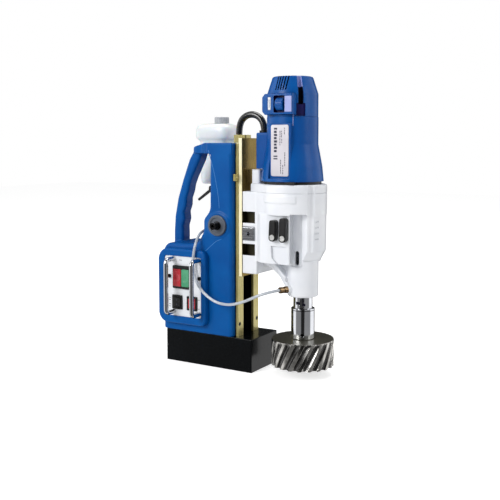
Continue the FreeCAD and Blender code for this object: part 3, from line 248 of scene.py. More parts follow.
# Pale blue painted highlight for the tab beside the dial, the lit faces of the cap's notch and the light
# crease on the motor casing.
pale_highlight_blue = surface("pale_blue_highlight", rgb(168, 176, 226), rgb(148, 158, 214), 0.3, grain=1800, bump=0.15)
foot_black = surface("foot_black", rgb(6, 9, 12), rgb(4, 6, 8), 0.24, 0.06, grain=700, bump=0.06,
                     edge_wear_and_highlight=rgb(70, 74, 80), edge_wear_and_highlight_share=0.35, edge=0.001, Coat_Weight=0.1, Coat_Roughness=0.06,
                     Specular_IOR_Level=0.15)
copper = surface("copper_winding", rgb(190, 120, 76), rgb(160, 92, 56), 0.35, metal=1.0,
                 stretch=(0.05, 1, 1))
resin = surface("resin", rgb(30, 30, 32), rgb(22, 22, 24), 0.7, grain=500, bump=0.4)
panel_white = surface("panel", rgb(236, 238, 242), rgb(224, 227, 232), 0.34, grain=1200, bump=0.08,
                      stretch=(1, 1, 0.05))
black_plastic = surface("black_plastic", rgb(24, 24, 25), rgb(15, 15, 16), 0.42, grain=2200, bump=0.35,
                        depth=0.0002, edge_wear_and_highlight=rgb(84, 84, 86), edge_wear_and_highlight_share=0.4, Specular_IOR_Level=0.4)
red_plastic = surface("red_plastic", rgb(196, 52, 60), rgb(172, 38, 48), 0.28, grain=1500, bump=0.1,
                      edge_wear_and_highlight=rgb(236, 140, 136), edge_wear_and_highlight_share=0.6, Coat_Weight=0.3, Coat_Roughness=0.1)
green_plastic = surface("green_plastic", rgb(86, 164, 124), rgb(64, 146, 106), 0.28, grain=1500, bump=0.1,
                        edge_wear_and_highlight=rgb(170, 222, 196), edge_wear_and_highlight_share=0.6, Coat_Weight=0.3, Coat_Roughness=0.1)
chrome = surface("chrome", rgb(206, 208, 212), rgb(190, 193, 198), 0.08, 0.03, metal=1.0, grain=400,
                 bump=0.03)
board_green = surface("circuit_board", rgb(34, 100, 62), rgb(24, 82, 50), 0.4, patch=160)
black_steel = surface("black_steel", rgb(17, 17, 16), rgb(10, 10, 10), 0.38, 0.08, grain=600, bump=0.15,
                      edge_wear_and_highlight=rgb(90, 90, 92), edge_wear_and_highlight_share=0.4, Specular_IOR_Level=0.3)
gold = surface("gold_strip", rgb(196, 184, 122), rgb(180, 168, 104), 0.24, 0.07, metal=0.55, grain=1500,
               bump=0.12, stretch=BRUSHED_UP, edge_wear_and_highlight=rgb(252, 246, 214), edge_wear_and_highlight_share=0.8)
# Lit and shaded copies of the slide's gold: the pale copy is a painted highlight for its side faces, and
# the darker olive copy is painted shade for the rest of the slide.
lit_gold_side = surface("gold_slide_lit_side", rgb(255, 248, 214), rgb(250, 240, 196), 0.26, 0.06, metal=0.0,
                    grain=1500, bump=0.1, stretch=BRUSHED_UP, edge_wear_and_highlight=rgb(254, 250, 226), edge_wear_and_highlight_share=0.6)
gold_slide = surface("gold_slide", rgb(140, 116, 44), rgb(112, 90, 30), 0.26, 0.08, metal=0.75, grain=1500,
                     bump=0.14, stretch=BRUSHED_UP, edge_wear_and_highlight=rgb(236, 224, 176), edge_wear_and_highlight_share=0.8)
steel = surface("steel", rgb(176, 178, 182), rgb(152, 155, 160), 0.22, 0.08, metal=1.0, grain=1300,
                bump=0.1, stretch=TURNED, edge_wear_and_highlight=rgb(236, 238, 240), edge_wear_and_highlight_share=0.6)
bright_steel = surface("bright_steel", rgb(226, 228, 232), rgb(210, 212, 218), 0.1, 0.03, metal=1.0,
                       grain=1500, bump=0.04, stretch=TURNED, edge_wear_and_highlight=rgb(244, 245, 246), edge_wear_and_highlight_share=0.3)
tool_steel = surface("tool_steel", rgb(196, 194, 190), rgb(150, 148, 144), 0.2, 0.08, metal=1.0, grain=900,
                     bump=0.14, patch=60, stretch=(1, 1, 0.1), edge_wear_and_highlight=rgb(240, 240, 238), edge_wear_and_highlight_share=0.8)
pivot_silver = surface("pivot_silver", rgb(226, 226, 224), rgb(206, 206, 204), 0.3, metal=0.3, grain=1500)
tool_flute = surface("tool_flute", rgb(122, 121, 120), rgb(84, 83, 82), 0.26, 0.08, metal=1.0, grain=900,
                     bump=0.16, patch=60, stretch=(1, 1, 0.1), edge_wear_and_highlight=rgb(190, 190, 188), edge_wear_and_highlight_share=0.7)
tool_face = surface("tool_face", rgb(118, 115, 102), rgb(94, 92, 82), 0.34, 0.08, metal=0.8, grain=1400,
                    bump=0.12, edge_wear_and_highlight=rgb(200, 198, 194), edge_wear_and_highlight_share=0.8)
dark_steel = surface("dark_steel", rgb(46, 46, 48), rgb(30, 30, 32), 0.3, 0.1, metal=1.0, grain=900,
                     bump=0.14, stretch=TURNED, edge_wear_and_highlight=rgb(150, 150, 152), edge_wear_and_highlight_share=0.6)
disc_steel = surface("disc_steel", rgb(104, 110, 120), rgb(88, 94, 104), 0.4, 0.08, metal=0.6, grain=1600,
                     bump=0.12, stretch=(1, 0.05, 1), edge_wear_and_highlight=rgb(180, 186, 194), edge_wear_and_highlight_share=0.8)
tank_white = surface("tank_plastic", rgb(240, 243, 243), rgb(222, 227, 229), 0.34, grain=1300, bump=0.14,
                     Subsurface_Weight=0.25, Subsurface_Scale=0.006, Coat_Weight=0.2)
cap_grey = surface("cap_grey", rgb(176, 179, 184), rgb(156, 160, 166), 0.4, grain=1600, bump=0.2)
mark_grey = surface("mark_grey", rgb(206, 209, 214), rgb(194, 198, 204), 0.4, grain=1100, bump=0.15)
cast_white = surface("cast_paint", rgb(238, 240, 244), rgb(230, 233, 239), 0.34, 0.06, grain=1100, bump=0.2,
                     depth=0.0003, edge=0.0014, edge_wear_and_highlight=rgb(246, 247, 249), edge_wear_and_highlight_share=0.5, Coat_Weight=0.2,
                     Coat_Roughness=0.2)
brass = surface("brass", rgb(150, 124, 92), rgb(110, 88, 62), 0.26, 0.08, metal=1.0, grain=900, bump=0.15,
                edge_wear_and_highlight=rgb(216, 198, 160), edge_wear_and_highlight_share=0.7)
rubber = surface("rubber", rgb(18, 18, 18), rgb(11, 11, 11), 0.24, 0.06, grain=800, bump=0.15,
                 Coat_Weight=0.5, Coat_Roughness=0.12)
hose_clear = surface("hose_plastic", rgb(214, 220, 228), rgb(188, 197, 208), 0.14, 0.05, grain=500,
                     bump=0.08, patch=8, Transmission_Weight=0.25, IOR=1.42, Coat_Weight=0.5,
                     Coat_Roughness=0.05)
label_silver = surface("label_silver", rgb(214, 210, 216), rgb(200, 196, 203), 0.34, 0.05, metal=0.25,
                       grain=1500, bump=0.06, stretch=BRUSHED_UP)
# Dark olive painted shade for the insides of the bays beside the slide, standing for the gold slide seen in
# shadow through them.
olive_painted_shade = surface("olive_painted_shade", rgb(58, 52, 22), rgb(38, 34, 12), 0.4, metal=0.4, grain=900,
                     stretch=BRUSHED_UP)
print_dark = surface("print_dark", rgb(34, 38, 70), rgb(26, 28, 54), 0.5, grain=1500, bump=0.1)
print_grey = surface("print_grey", rgb(70, 72, 84), rgb(56, 58, 70), 0.5, grain=1500, bump=0.1)
print_white = surface("print_white", rgb(236, 236, 236), rgb(222, 222, 222), 0.5, grain=1500, bump=0.1)
lamination = surface("lamination", rgb(140, 138, 135), rgb(110, 108, 106), 0.4, metal=1.0, grain=1500,
                     bump=0.3, stretch=TURNED)

BY_SLOT = {
    "blue_paint": blue_paint, "foot_black": foot_black, "copper": copper, "resin": resin,
    "blue_plastic": blue_plastic, "panel": panel_white, "black_plastic": black_plastic,
    "red_plastic": red_plastic, "green_plastic": green_plastic, "chrome": chrome, "board": board_green,
    "black_steel": black_steel, "gold": gold, "gold_slide": gold_slide, "steel": steel,
    "dark_steel": dark_steel, "white_plastic": tank_white, "grey_plastic": cap_grey, "cast": cast_white,
    "brass": brass, "rubber": rubber, "clear_hose": hose_clear, "plate": label_silver,
    "lamination": lamination,
}
OWN_FINISH = {
    "knob_pivots": pivot_silver, "spindle": bright_steel, "arbor": bright_steel, "feed_covers": disc_steel,
}


# ---------------------------------------------------------------- mesh helpers
JOIN_WITHIN = 2e-6


def made(name, bm, material, body):
    """Turns a bmesh into a shaded piece that rides on a body."""
    mesh = bpy.data.meshes.new(name)
    bm.normal_update()
    bm.to_mesh(mesh)
    bm.free()
    return placed(name, mesh, material, body)


def placed(name, mesh, material, body):
    """Links a mesh as a piece with one material, riding on a body if one is named."""
    piece = bpy.data.objects.new(name, mesh)
    bpy.context.scene.collection.objects.link(piece)
    mesh.materials.clear()
    mesh.materials.append(material)
    if body is not None:
        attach(piece, body)
    return piece


def trim(name, material, body, slot, build, *sizes):
    """Small piece made by one call of a mesh helper."""
    bm = bmesh.new()
    build(bm, *sizes)
    return made(name, bm, material, body)


def shade_by_angle(piece, degrees):
    """Smooth shading that breaks at edges sharper than the angle."""
    piece.data.shade_smooth()
    piece.data.set_sharp_from_angle(angle=math.radians(degrees))


def settle(piece):
    """Works the piece's modifiers into its mesh."""
    bpy.context.view_layer.update()
    graph = bpy.context.evaluated_depsgraph_get()
    mesh = bpy.data.meshes.new_from_object(piece.evaluated_get(graph))
    piece.modifiers.clear()
    old = piece.data
    piece.data = mesh
    bpy.data.meshes.remove(old)


def nodes_mesh(bm, *nodes):
    """Adds the meshes of CAD nodes, with their corners joined."""
    for name in nodes:
        bm.from_mesh(frame["nodes"][name].data)
    bmesh.ops.remove_doubles(bm, verts=bm.verts, dist=JOIN_WITHIN)


def melt(piece, voxel, rounds):
    """Casts the piece as one skin with softly rounded edges."""
    skin = piece.modifiers.new("skin", "REMESH")
    skin.mode = "VOXEL"
    skin.voxel_size = voxel
    skin.use_smooth_shade = True
    ease = piece.modifiers.new("ease", "SMOOTH")
    ease.factor = 0.5
    ease.iterations = rounds
    settle(piece)


def carve(piece, *tools):
    """Cuts closed tool pieces out of the piece, and removes them."""
    for shape in tools:
        cut = piece.modifiers.new("cut", "BOOLEAN")
        cut.operation = "DIFFERENCE"
        cut.solver = "EXACT"
        cut.material_mode = "TRANSFER"
        cut.object = shape
    settle(piece)
    for shape in tools:
        bpy.data.objects.remove(shape)


def arc_block(bm, centre, inner, outer, low, high, start, stop):
    """Block that follows a drum between two angles, in degrees, and two radii."""
    steps = max(2, int(abs(stop - start) / 3))
    rings = []
    for k in range(steps + 1):
        a = math.radians(start + (stop - start) * k / steps)
        out = Vector((math.cos(a), math.sin(a), 0))
        near, far = centre + out * inner, centre + out * outer
        rings.append([bm.verts.new(p + UP * z) for p, z in
                      ((near, low), (near, high), (far, high), (far, low))])
    for first, second in zip(rings, rings[1:]):
        stitch(bm, first, second)
    bm.faces.new(list(reversed(rings[0])))
    bm.faces.new(rings[-1])


def prism(bm, corners, near, far):
    """Flat shape of (x, z) corners, pulled from y = near to y = far."""
    front = [bm.verts.new((x, near, z)) for x, z in corners]
    back = [bm.verts.new((x, far, z)) for x, z in corners]
    stitch(bm, front, back)
    bm.faces.new(list(reversed(front)))
    bm.faces.new(back)


def tool(name, material, build, *sizes):
    """Closed piece used to carve, which leaves its own finish on what it cuts."""
    bm = bmesh.new()
    build(bm, *sizes)
    bmesh.ops.recalc_face_normals(bm, faces=bm.faces)
    mesh = bpy.data.meshes.new(name)
    bm.to_mesh(mesh)
    bm.free()
    mesh.materials.append(material)
    shape = bpy.data.objects.new(name, mesh)
    bpy.context.scene.collection.objects.link(shape)
    return shape


def block(bm, low, high, soft=0.0, steps=3):
    """Box with rounded edges."""
    low, high = Vector(low), Vector(high)
    size = high - low
    turn = Matrix.Translation((low + high) / 2) @ Matrix.Diagonal((*size, 1))
    verts = bmesh.ops.create_cube(bm, size=1.0, matrix=turn)["verts"]
    if soft > 0:
        edges = list({e for v in verts for e in v.link_edges})
        bmesh.ops.bevel(bm, geom=edges, offset=soft, segments=steps, profile=0.5, affect="EDGES")


def lathe(bm, start, axis, profile, around=48):
    """Turned shape: profile is (distance along the axis, radius) from one end to the other."""
    axis = Vector(axis).normalized()
    side = axis.orthogonal().normalized()
    other = axis.cross(side)
    start = Vector(start)
    rings = []
    for along, radius in profile:
        centre = start + axis * along
        if radius <= 1e-7:
            rings.append([bm.verts.new(centre)])
            continue
        ring = []
        for k in range(around):
            a = 2 * math.pi * k / around
            ring.append(bm.verts.new(centre + (side * math.cos(a) + other * math.sin(a)) * radius))
        rings.append(ring)
    for first, second in zip(rings, rings[1:]):
        stitch(bm, first, second)
    for ring, turned in ((rings[0], True), (rings[-1], False)):
        if len(ring) > 1:
            bm.faces.new(list(reversed(ring)) if turned else ring)


def stitch(bm, first, second):
    """Faces between two closed rings, either of which may be a single point."""
    n = max(len(first), len(second))
    for k in range(n):
        j = (k + 1) % n
        if len(first) == 1:
            bm.faces.new((first[0], second[j], second[k]))
        elif len(second) == 1:
            bm.faces.new((first[k], first[j], second[0]))
        else:
            bm.faces.new((first[k], first[j], second[j], second[k]))


def sweep(bm, points, radius, around=12, squash=1.0):
    """Round bead along a list of points, closed at both ends."""
    points = [Vector(p) for p in points]
    rings = []
    for k, p in enumerate(points):
        ahead = points[min(k + 1, len(points) - 1)] - points[max(k - 1, 0)]
        ahead.normalize()
        side = ahead.cross(Vector((0, 1, 0)))
        if side.length < 1e-3:
            side = ahead.cross(Vector((1, 0, 0)))
        side.normalize()
        other = ahead.cross(side)
        ring = []
        for j in range(around):
            a = 2 * math.pi * j / around
            out = side * math.cos(a) * radius + other * math.sin(a) * radius * squash
            ring.append(bm.verts.new(p + out))
        rings.append(ring)
    for first, second in zip(rings, rings[1:]):
        stitch(bm, first, second)
    bm.faces.new(list(reversed(rings[0])))
    bm.faces.new(rings[-1])


def smooth_path(corners, steps=6):
    """Catmull-Rom line through the corners."""
    corners = [Vector(c) for c in corners]
    ends = [corners[0] * 2 - corners[1]] + corners + [corners[-1] * 2 - corners[-2]]
    line = []
    for k in range(1, len(ends) - 2):
        a, b, c, d = ends[k - 1:k + 3]
        for s in range(steps):
            t = s / steps
            line.append(((b * 2) + (c - a) * t + (a * 2 - b * 5 + c * 4 - d) * t * t
                         + (b * 3 - a - c * 3 + d) * t ** 3) / 2)
    line.append(corners[-1])
    return line


# ---------------------------------------------------------------- cords
def spline(name, route):
    """NURBS curve with the route's points, in metres, as its control points."""
    data = bpy.data.curves.new(name, "CURVE")
    data.dimensions = "3D"
    data.resolution_u = 12
    line = data.splines.new("NURBS")
    line.points.add(len(route) - 1)
    for point, place in zip(line.points, route):
        point.co = (*place, 1.0)
    line.order_u = 3
    line.use_endpoint_u = True
    made_curve = bpy.data.objects.new(name, data)
    bpy.context.scene.collection.objects.link(made_curve)
    return made_curve


def centreline(curve):
    """Points along the curve, and its length."""
    bpy.context.view_layer.update()
    mesh = bpy.data.meshes.new_from_object(curve)
    points = [v.co.copy() for v in mesh.vertices]
    bpy.data.meshes.remove(mesh)
    length = sum((b - a).length for a, b in zip(points, points[1:]))
    return points, length


def hose_mesh(curve, diameter):
    """The curve's round tube as a mesh, and the curve is removed."""
    curve.data.bevel_depth = diameter / 2
    curve.data.bevel_resolution = 5
    curve.data.use_fill_caps = True
    bpy.context.view_layer.update()
    mesh = bpy.data.meshes.new_from_object(curve)
    bpy.data.objects.remove(curve)
    mesh.shade_smooth()
    return mesh


HOSE_D = 0.006
HOSE_ROUTE = [
    (-0.064, 0.078, 0.3662), (-0.063, 0.075, 0.334), (-0.054, 0.058, 0.303), (-0.037, 0.018, 0.288),
    (-0.025, -0.022, 0.293), (-0.020, -0.056, 0.287), (-0.018, -0.074, 0.266), (-0.023, -0.075, 0.240),
    (-0.024, -0.075, 0.206), (-0.008, -0.075, 0.172), (0.027, -0.076, 0.148), (0.066, -0.077, 0.143),
    (0.104, -0.079, 0.154), (0.139, -0.078, 0.171), (0.161, -0.070, 0.179), (0.17335, -0.049623, 0.181),
]
hose_curve = spline("hose_line", HOSE_ROUTE)
hose_line, hose_length = centreline(hose_curve)
hose = placed("coolant_hose_tube", hose_mesh(hose_curve, HOSE_D), hose_clear, None)
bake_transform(hose)
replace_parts(hose, "coolant_hose")

CONDUIT_D = 0.014
CONDUIT_ROUTE = [
    (0.0466, 0, 0.498), (0.0466, 0, 0.52242), (0.064876, 0, 0.5407), (0.090724, 0, 0.5407),
    (0.109, 0, 0.52242), (0.109, 0, 0.502),
]
conduit_curve = spline("conduit_line", CONDUIT_ROUTE)
conduit_line, conduit_length = centreline(conduit_curve)
conduit = placed("motor_conduit_tube", hose_mesh(conduit_curve, CONDUIT_D), rubber, "head")
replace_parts(conduit, "motor_conduit")


# ---------------------------------------------------------------- stand casting with its carry handle
STAND_NODES = ("stand_housing", "stand_column", "stand_deck", "carry_handle")
BOSS_SUNK, BOSS_RISE = 0.0027, 0.0036
BOSS_FOOT_R, BOSS_TOP_R = 0.0295, 0.0285


def stand_casting():
    """Housing and handle as one cast skin, with a low round boss about the feed shaft on both sides."""
    bm = bmesh.new()
    nodes_mesh(bm, *STAND_NODES)
    for side in (-1, 1):
        start = (feed_at.mid.x, side * (stand_at.high.y - BOSS_SUNK), feed_at.mid.z)
        lathe(bm, start, (0, side, 0), [(0, BOSS_FOOT_R), (BOSS_RISE, BOSS_TOP_R)], 64)
    piece = made("stand_casting", bm, blue_paint, None)
    melt(piece, 0.0016, 5)
    return piece


CREASE_R, CREASE_SUNK = 0.0010, 0.0002


def stand_creases():
    """Thin raised folds that run from the deck past the feed boss and down towards the foot, painted
    lighter blue as a highlight on their lit edge.
    """
    x, z = feed_at.mid.x, feed_at.mid.z
    y = stand_at.high.y - CREASE_SUNK
    upper = [(-0.0247, 0.159), (-0.0127, 0.12), (-0.0067, 0.096), (0.0003, 0.06), (0.0023, 0.036)]
    lower = [(0.0243, 0.003), (0.0223, -0.013), (0.0123, -0.026), (-0.0067, -0.035), (-0.0347, -0.058)]
    bm = bmesh.new()
    for side in (-1, 1):
        for run in (upper, lower):
            sweep(bm, smooth_path([(x + dx, side * y, z + dz) for dx, dz in run]), CREASE_R, 8, 0.7)
    piece = made("stand_creases", bm, crease_highlight_blue, "stand")
    piece.data.shade_smooth()


stand_creases()
casting = stand_casting()
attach(casting, "stand")
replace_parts(casting, *STAND_NODES)


# ---------------------------------------------------------------- gearbox casting
RISE_SUNK = 0.003
PAD_RISE, PAD_ARC, PAD_Z = 0.0009, (-128, -60), (0.361, 0.375)
BAY_X, BAY_Y = (0.0782, 0.1085), (-0.045, -0.0215)
BAY_Z = {"bay_0": (0.314, 0.338), "bay_1": (0.246, 0.270)}
BOWL = ((0.158, 0.272), (0.192, 0.272), (0.200, 0.232), (0.190, 0.228), (0.174, 0.233), (0.160, 0.247))
BOWL_Y = (-0.075, -0.0535)


def gearbox_casting():
    """The casting as one skin, with a name pad, bays beside the slide whose cut faces are painted dark
    olive as shade, and a recess by the knobs.
    """
    bm = bmesh.new()
    nodes_mesh(bm, "gearbox_housing")
    arc_block(bm, DRUM, DRUM_R - RISE_SUNK, DRUM_R + PAD_RISE, *PAD_Z, *PAD_ARC)
    piece = made("gearbox_casting", bm, cast_white, None)
    melt(piece, 0.0013, 4)
    bays = [tool(name, olive_painted_shade, block, (BAY_X[0], BAY_Y[0], low), (BAY_X[1], BAY_Y[1], high))
            for name, (low, high) in BAY_Z.items()]
    carve(piece, *bays, tool("bowl", cast_white, prism, BOWL, *BOWL_Y))
    return piece


MARK_RISE, MARK_Z, MARK_STEP = 0.0004, 0.2862, 0.0118
MARK_COLUMNS = ((-23.0, 2.6, 0.0018), (-18.0, 1.5, 0.0030))


def casting_marks():
    """Two columns of small raised bars on the drum, which read as nothing."""
    bm = bmesh.new()
    for row in range(4):
        low = MARK_Z + MARK_STEP * row
        for start, wide, tall in MARK_COLUMNS:
            arc_block(bm, DRUM, DRUM_R - RISE_SUNK, DRUM_R + MARK_RISE, low, low + tall,
                      start, start + wide)
    made("casting_marks", bm, mark_grey, "head")


casting_marks()
gearbox = gearbox_casting()
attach(gearbox, "head")
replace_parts(gearbox, "gearbox_housing")


# ---------------------------------------------------------------- annular cutter
CUTTER_AXIS = Vector((spindle_at.mid.x, 0, 0))
CUTTER_R = (cutter_at.high.x - cutter_at.low.x) / 2
CUTTER_FOOT = cutter_at.low.z
CUTTER_TALL = 0.056
FLUTES, PER_FLUTE, FLUTE_ROWS = 20, 14, 22
FLUTE_LEAD = math.tan(math.radians(27)) / CUTTER_R
FLUTE_DEPTH, RUN_OUT = 0.0046, 0.006
LAND_SHARE = 0.42
TOOTH_RELIEF = 0.0016
AROUND_CUTTER = FLUTES * PER_FLUTE


def flute_depth(phase, height):
    """How far the flute cuts in, for a phase from 0 to 1 across one flute."""
    run_out = min(1.0, max(0.0, (CUTTER_TALL - 0.0004 - height) / RUN_OUT))
    if phase < LAND_SHARE:
        return 0.0
    share = (phase - LAND_SHARE) / (1 - LAND_SHARE)
    return FLUTE_DEPTH * run_out * math.sin(math.pi * min(1.0, share ** 0.7)) ** 0.8


def cutter_ring(bm, z, twist, radius_of):
    """Ring of points about the cutter's axis; radius_of gives the radius and the lift of point k."""
    ring = []
    for k in range(AROUND_CUTTER):
        radius, lift = radius_of(k)
        angle = 2 * math.pi * k / AROUND_CUTTER + twist
        across = Vector((radius * math.cos(angle), radius * math.sin(angle), z + lift))
        ring.append(bm.verts.new(CUTTER_AXIS + across))
    return ring


def fluted_row(bm, row):
    """One level of the toothed outside."""
    height = CUTTER_TALL * row / FLUTE_ROWS

    def radius_of(k):
        """Radius and lift of point k, where the lowest row's teeth are ground back."""
        phase = (k % PER_FLUTE) / PER_FLUTE
        radius = CUTTER_R - (0.0006 if row == FLUTE_ROWS else flute_depth(phase, height))
        return radius, TOOTH_RELIEF * phase if row == 0 else 0.0

    return cutter_ring(bm, CUTTER_FOOT + height, FLUTE_LEAD * height, radius_of)


def annular_cutter():
    """Tool ring with rounded flutes that climb round it, sharp-backed teeth and a bored shank."""
    top = CUTTER_FOOT + CUTTER_TALL
    turn = FLUTE_LEAD * CUTTER_TALL
    plain = (
        (CUTTER_R - 0.0012, top, turn), (0.0262, top, turn), (0.0256, top - 0.001, turn),
        (0.0162, top - 0.001, turn), (0.01595, top - 0.001, turn), (0.01595, top + 0.041, turn),
        (0.0150, top + 0.042, turn), (0.0041, top + 0.042, turn), (0.0041, top - 0.0095, turn),
        (CUTTER_R - 0.0085, top - 0.0095, turn), (CUTTER_R - 0.0085, CUTTER_FOOT + 0.003, 0.0),
        (CUTTER_R - 0.0078, CUTTER_FOOT + 0.0012, 0.0),
    )
    bm = bmesh.new()
    rings = [fluted_row(bm, row) for row in range(FLUTE_ROWS + 1)]
    for radius, z, twist in plain:
        rings.append(cutter_ring(bm, z, twist, lambda k: (radius, 0.0)))
    for first, second in zip(rings, rings[1:] + rings[:1]):
        stitch(bm, first, second)
    piece = made("cutter_body", bm, tool_steel, "spindle")
    piece.data.materials.append(tool_face)
    piece.data.materials.append(tool_flute)
    for face in piece.data.polygons:
        out = (face.center.xy - CUTTER_AXIS.xy).length
        if face.normal.z > 0.9 and face.center.z > top - 0.003:
            face.material_index = 1
        elif CUTTER_R - 0.006 < out < CUTTER_R - 0.0011 and face.center.z < top - 0.001:
            face.material_index = 2
    shade_by_angle(piece, 28)
    return piece


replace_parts(annular_cutter(), "annular_cutter")


SLOT_R = (0.0186, 0.02015)
SLOT_ARCS = ((0.008, 0.0225, -66, -60), (0.0065, 0.0115, -66, -48), (0.0100, 0.0150, -108, -84))
RIM_DROP = 0.0042
RIM = ((0, 0.0236), (0, 0.02462), (0.0012, 0.02462), (0.0043, 0.0219), (0.0043, 0.0205))


def bayonet():
    """Quick-change slots round the spindle's mouth, as thin arcs painted near black as the slots' shade,
    and the dark rim of the arbor below it.
    """
    mouth = spindle_at.low.z
    bm = bmesh.new()
    for turn in (0, 180):
        for low, high, start, stop in SLOT_ARCS:
            arc_block(bm, CUTTER_AXIS, *SLOT_R, mouth + low, mouth + high, start + turn, stop + turn)
    made("bayonet_slots", bm, vent_painted_shade, "spindle")
    foot = CUTTER_AXIS + UP * (mouth - RIM_DROP)
    shade_by_angle(trim("arbor_rim", dark_steel, "spindle", "dark_steel", lathe, foot, UP, RIM, 96), 30)


bayonet()


# ---------------------------------------------------------------- coolant tank
TANK_X = -0.060
TANK_HALF_X, TANK_HALF_Y = 0.036, 0.027
TANK_SQUARE = 4.2
# Rise above the foot, and width and depth as shares of the lower tier
TANK_ROWS = (
    (0.0, 0.80, 0.76), (0.002, 0.93, 0.92), (0.007, 1.0, 1.0), (0.040, 1.0, 1.0), (0.0425, 0.985, 0.98),
    (0.045, 1.0, 1.0), (0.090, 1.0, 1.0), (0.096, 1.01, 1.01), (0.1005, 1.1, 1.08), (0.1035, 1.24, 1.22),
    (0.107, 1.272, 1.252), (0.121, 1.276, 1.258), (0.129, 1.24, 1.21), (0.1345, 1.12, 1.06),
    (0.137, 0.92, 0.82), (0.138, 0.6, 0.5), (0.1382, 0.25, 0.2),
)
NECK_Z = 0.520
NECK = ((0, 0.0128), (0.0045, 0.0128), (0.0052, 0.0116), (0.0118, 0.0116), (0.012, 0.0098))


def tank_ring(bm, rise, wide, deep, around=72):
    """Rounded rectangle at one height of the bottle."""
    centre = Vector((TANK_X, tank_at.mid.y, tank_at.low.z + rise))
    ring = []
    for k in range(around):
        a = 2 * math.pi * k / around
        power = 2 / TANK_SQUARE
        x = math.copysign(abs(math.cos(a)) ** power, math.cos(a)) * TANK_HALF_X * wide
        y = math.copysign(abs(math.sin(a)) ** power, math.sin(a)) * TANK_HALF_Y * deep
        ring.append(bm.verts.new(centre + Vector((x, y, 0))))
    return ring


def coolant_tank():
    """Blown bottle in two tiers: lofted rounded rectangles with soft shoulders and a moulded waist."""
    bm = bmesh.new()
    rings = [tank_ring(bm, *row) for row in TANK_ROWS]
    for first, second in zip(rings, rings[1:]):
        stitch(bm, first, second)
    bm.faces.new(list(reversed(rings[0])))
    bm.faces.new(rings[-1])
    cap_middle = span("tank_cap").mid
    lathe(bm, (cap_middle.x, cap_middle.y, NECK_Z), UP, NECK)
    piece = made("coolant_bottle", bm, tank_white, "stand")
    piece.data.shade_smooth()
    smooth = piece.modifiers.new("smooth", "SUBSURF")
    smooth.levels = 1
    smooth.render_levels = 1
    return piece


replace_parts(coolant_tank(), "coolant_tank")


# ---------------------------------------------------------------- motor cap and its dial
CAP_AXIS = Vector((cap_at.mid.x, 0, 0))
CAP_R = (cap_at.high.x - cap_at.low.x) / 2
CAP_TOP_R = CAP_R - 0.0115
VENTS, VENT_X, VENT_STEP = 5, -0.0142, 0.0057
VENT_SHAPE = ((0, 0.5865), (0.0026, 0.5865), (0.0056, 0.62), (0.0030, 0.62))
VENT_Y = (0.070, 0.031)
# Finish, inner radius under the casing, height and arc of each cut beside the dial; the finish is painted
# on the cut faces, as dark blue shade in the window, near-black shade in the slot and a pale highlight in
# the notch
CAP_CUTS = {
    "window": (deep_blue_shade, 0.003, (0.5345, 0.560), (-57, -33.5)),
    "slot": (vent_painted_shade, 0.012, (0.558, 0.593), (-50, -38)),
    "notch": (pale_highlight_blue, 0.0165, (0.592, 0.62), (-51, -38)),
}
SEAT_STEP, SEAT_ROOM, SEAT_SUNK = 0.011, 0.0005, 0.0002
WHEEL_ROOM = 0.0008
OUTSIDE_Y = -0.08


def cap_shell():
    """Turned outside of the cap."""
    tall = cap_at.high.z - cap_at.low.z
    profile = (
        (0, CAP_R - 0.0006), (0.0006, CAP_R), (0.046, CAP_R), (0.0478, CAP_R - 0.0003),
        (tall - 0.003, CAP_TOP_R + 0.0012), (tall - 0.0009, CAP_TOP_R - 0.0004),
        (tall, CAP_TOP_R - 0.0026), (tall, 0),
    )
    foot = CAP_AXIS + UP * cap_at.low.z
    return trim("motor_cap_shell", blue_plastic, "head", "blue_plastic", lathe, foot, UP, profile, 128)


def cap_vents():
    """Slanted vents through both sides, whose cut faces are painted near black as the shade inside."""
    vents = []
    for side in (-1, 1):
        for k in range(VENTS):
            foot_x = CAP_AXIS.x + VENT_X + VENT_STEP * k
            slant = [(foot_x + dx, z) for dx, z in VENT_SHAPE]
            vents.append(tool("vent", vent_painted_shade, prism, slant, side * VENT_Y[0], side * VENT_Y[1]))
    return vents


def dial_rooms():
    """Seat for the dial's housing, and room for its wheel to turn; their cut faces are painted dark blue as
    shade.
    """
    low, high, _ = dial_at
    seat = tool("seat", deep_blue_shade, block, (low.x + SEAT_STEP, OUTSIDE_Y, low.z - SEAT_ROOM),
                (high.x + SEAT_SUNK, high.y - SEAT_SUNK, high.z + SEAT_ROOM))
    low, high, _ = span("speed_dial")
    room = Vector((WHEEL_ROOM, WHEEL_ROOM, WHEEL_ROOM))
    wheel = tool("wheel_room", deep_blue_shade, block, (low.x - WHEEL_ROOM, OUTSIDE_Y, low.z - WHEEL_ROOM),
                 high + room)
    return [seat, wheel]


def motor_cap():
    """Turned cap with slanted vents on both sides, a deep window with its slot and a seat for the dial,
    whose cut faces take painted shade, and a notch whose cut faces take a painted highlight.
    """
    piece = cap_shell()
    cuts = [tool(name, finish, arc_block, CAP_AXIS, CAP_R - deep, CAP_R + 0.01, *heights, *arc)
            for name, (finish, deep, heights, arc) in CAP_CUTS.items()]
    carve(piece, *cap_vents(), *cuts, *dial_rooms())
    shade_by_angle(piece, 30)
    return piece


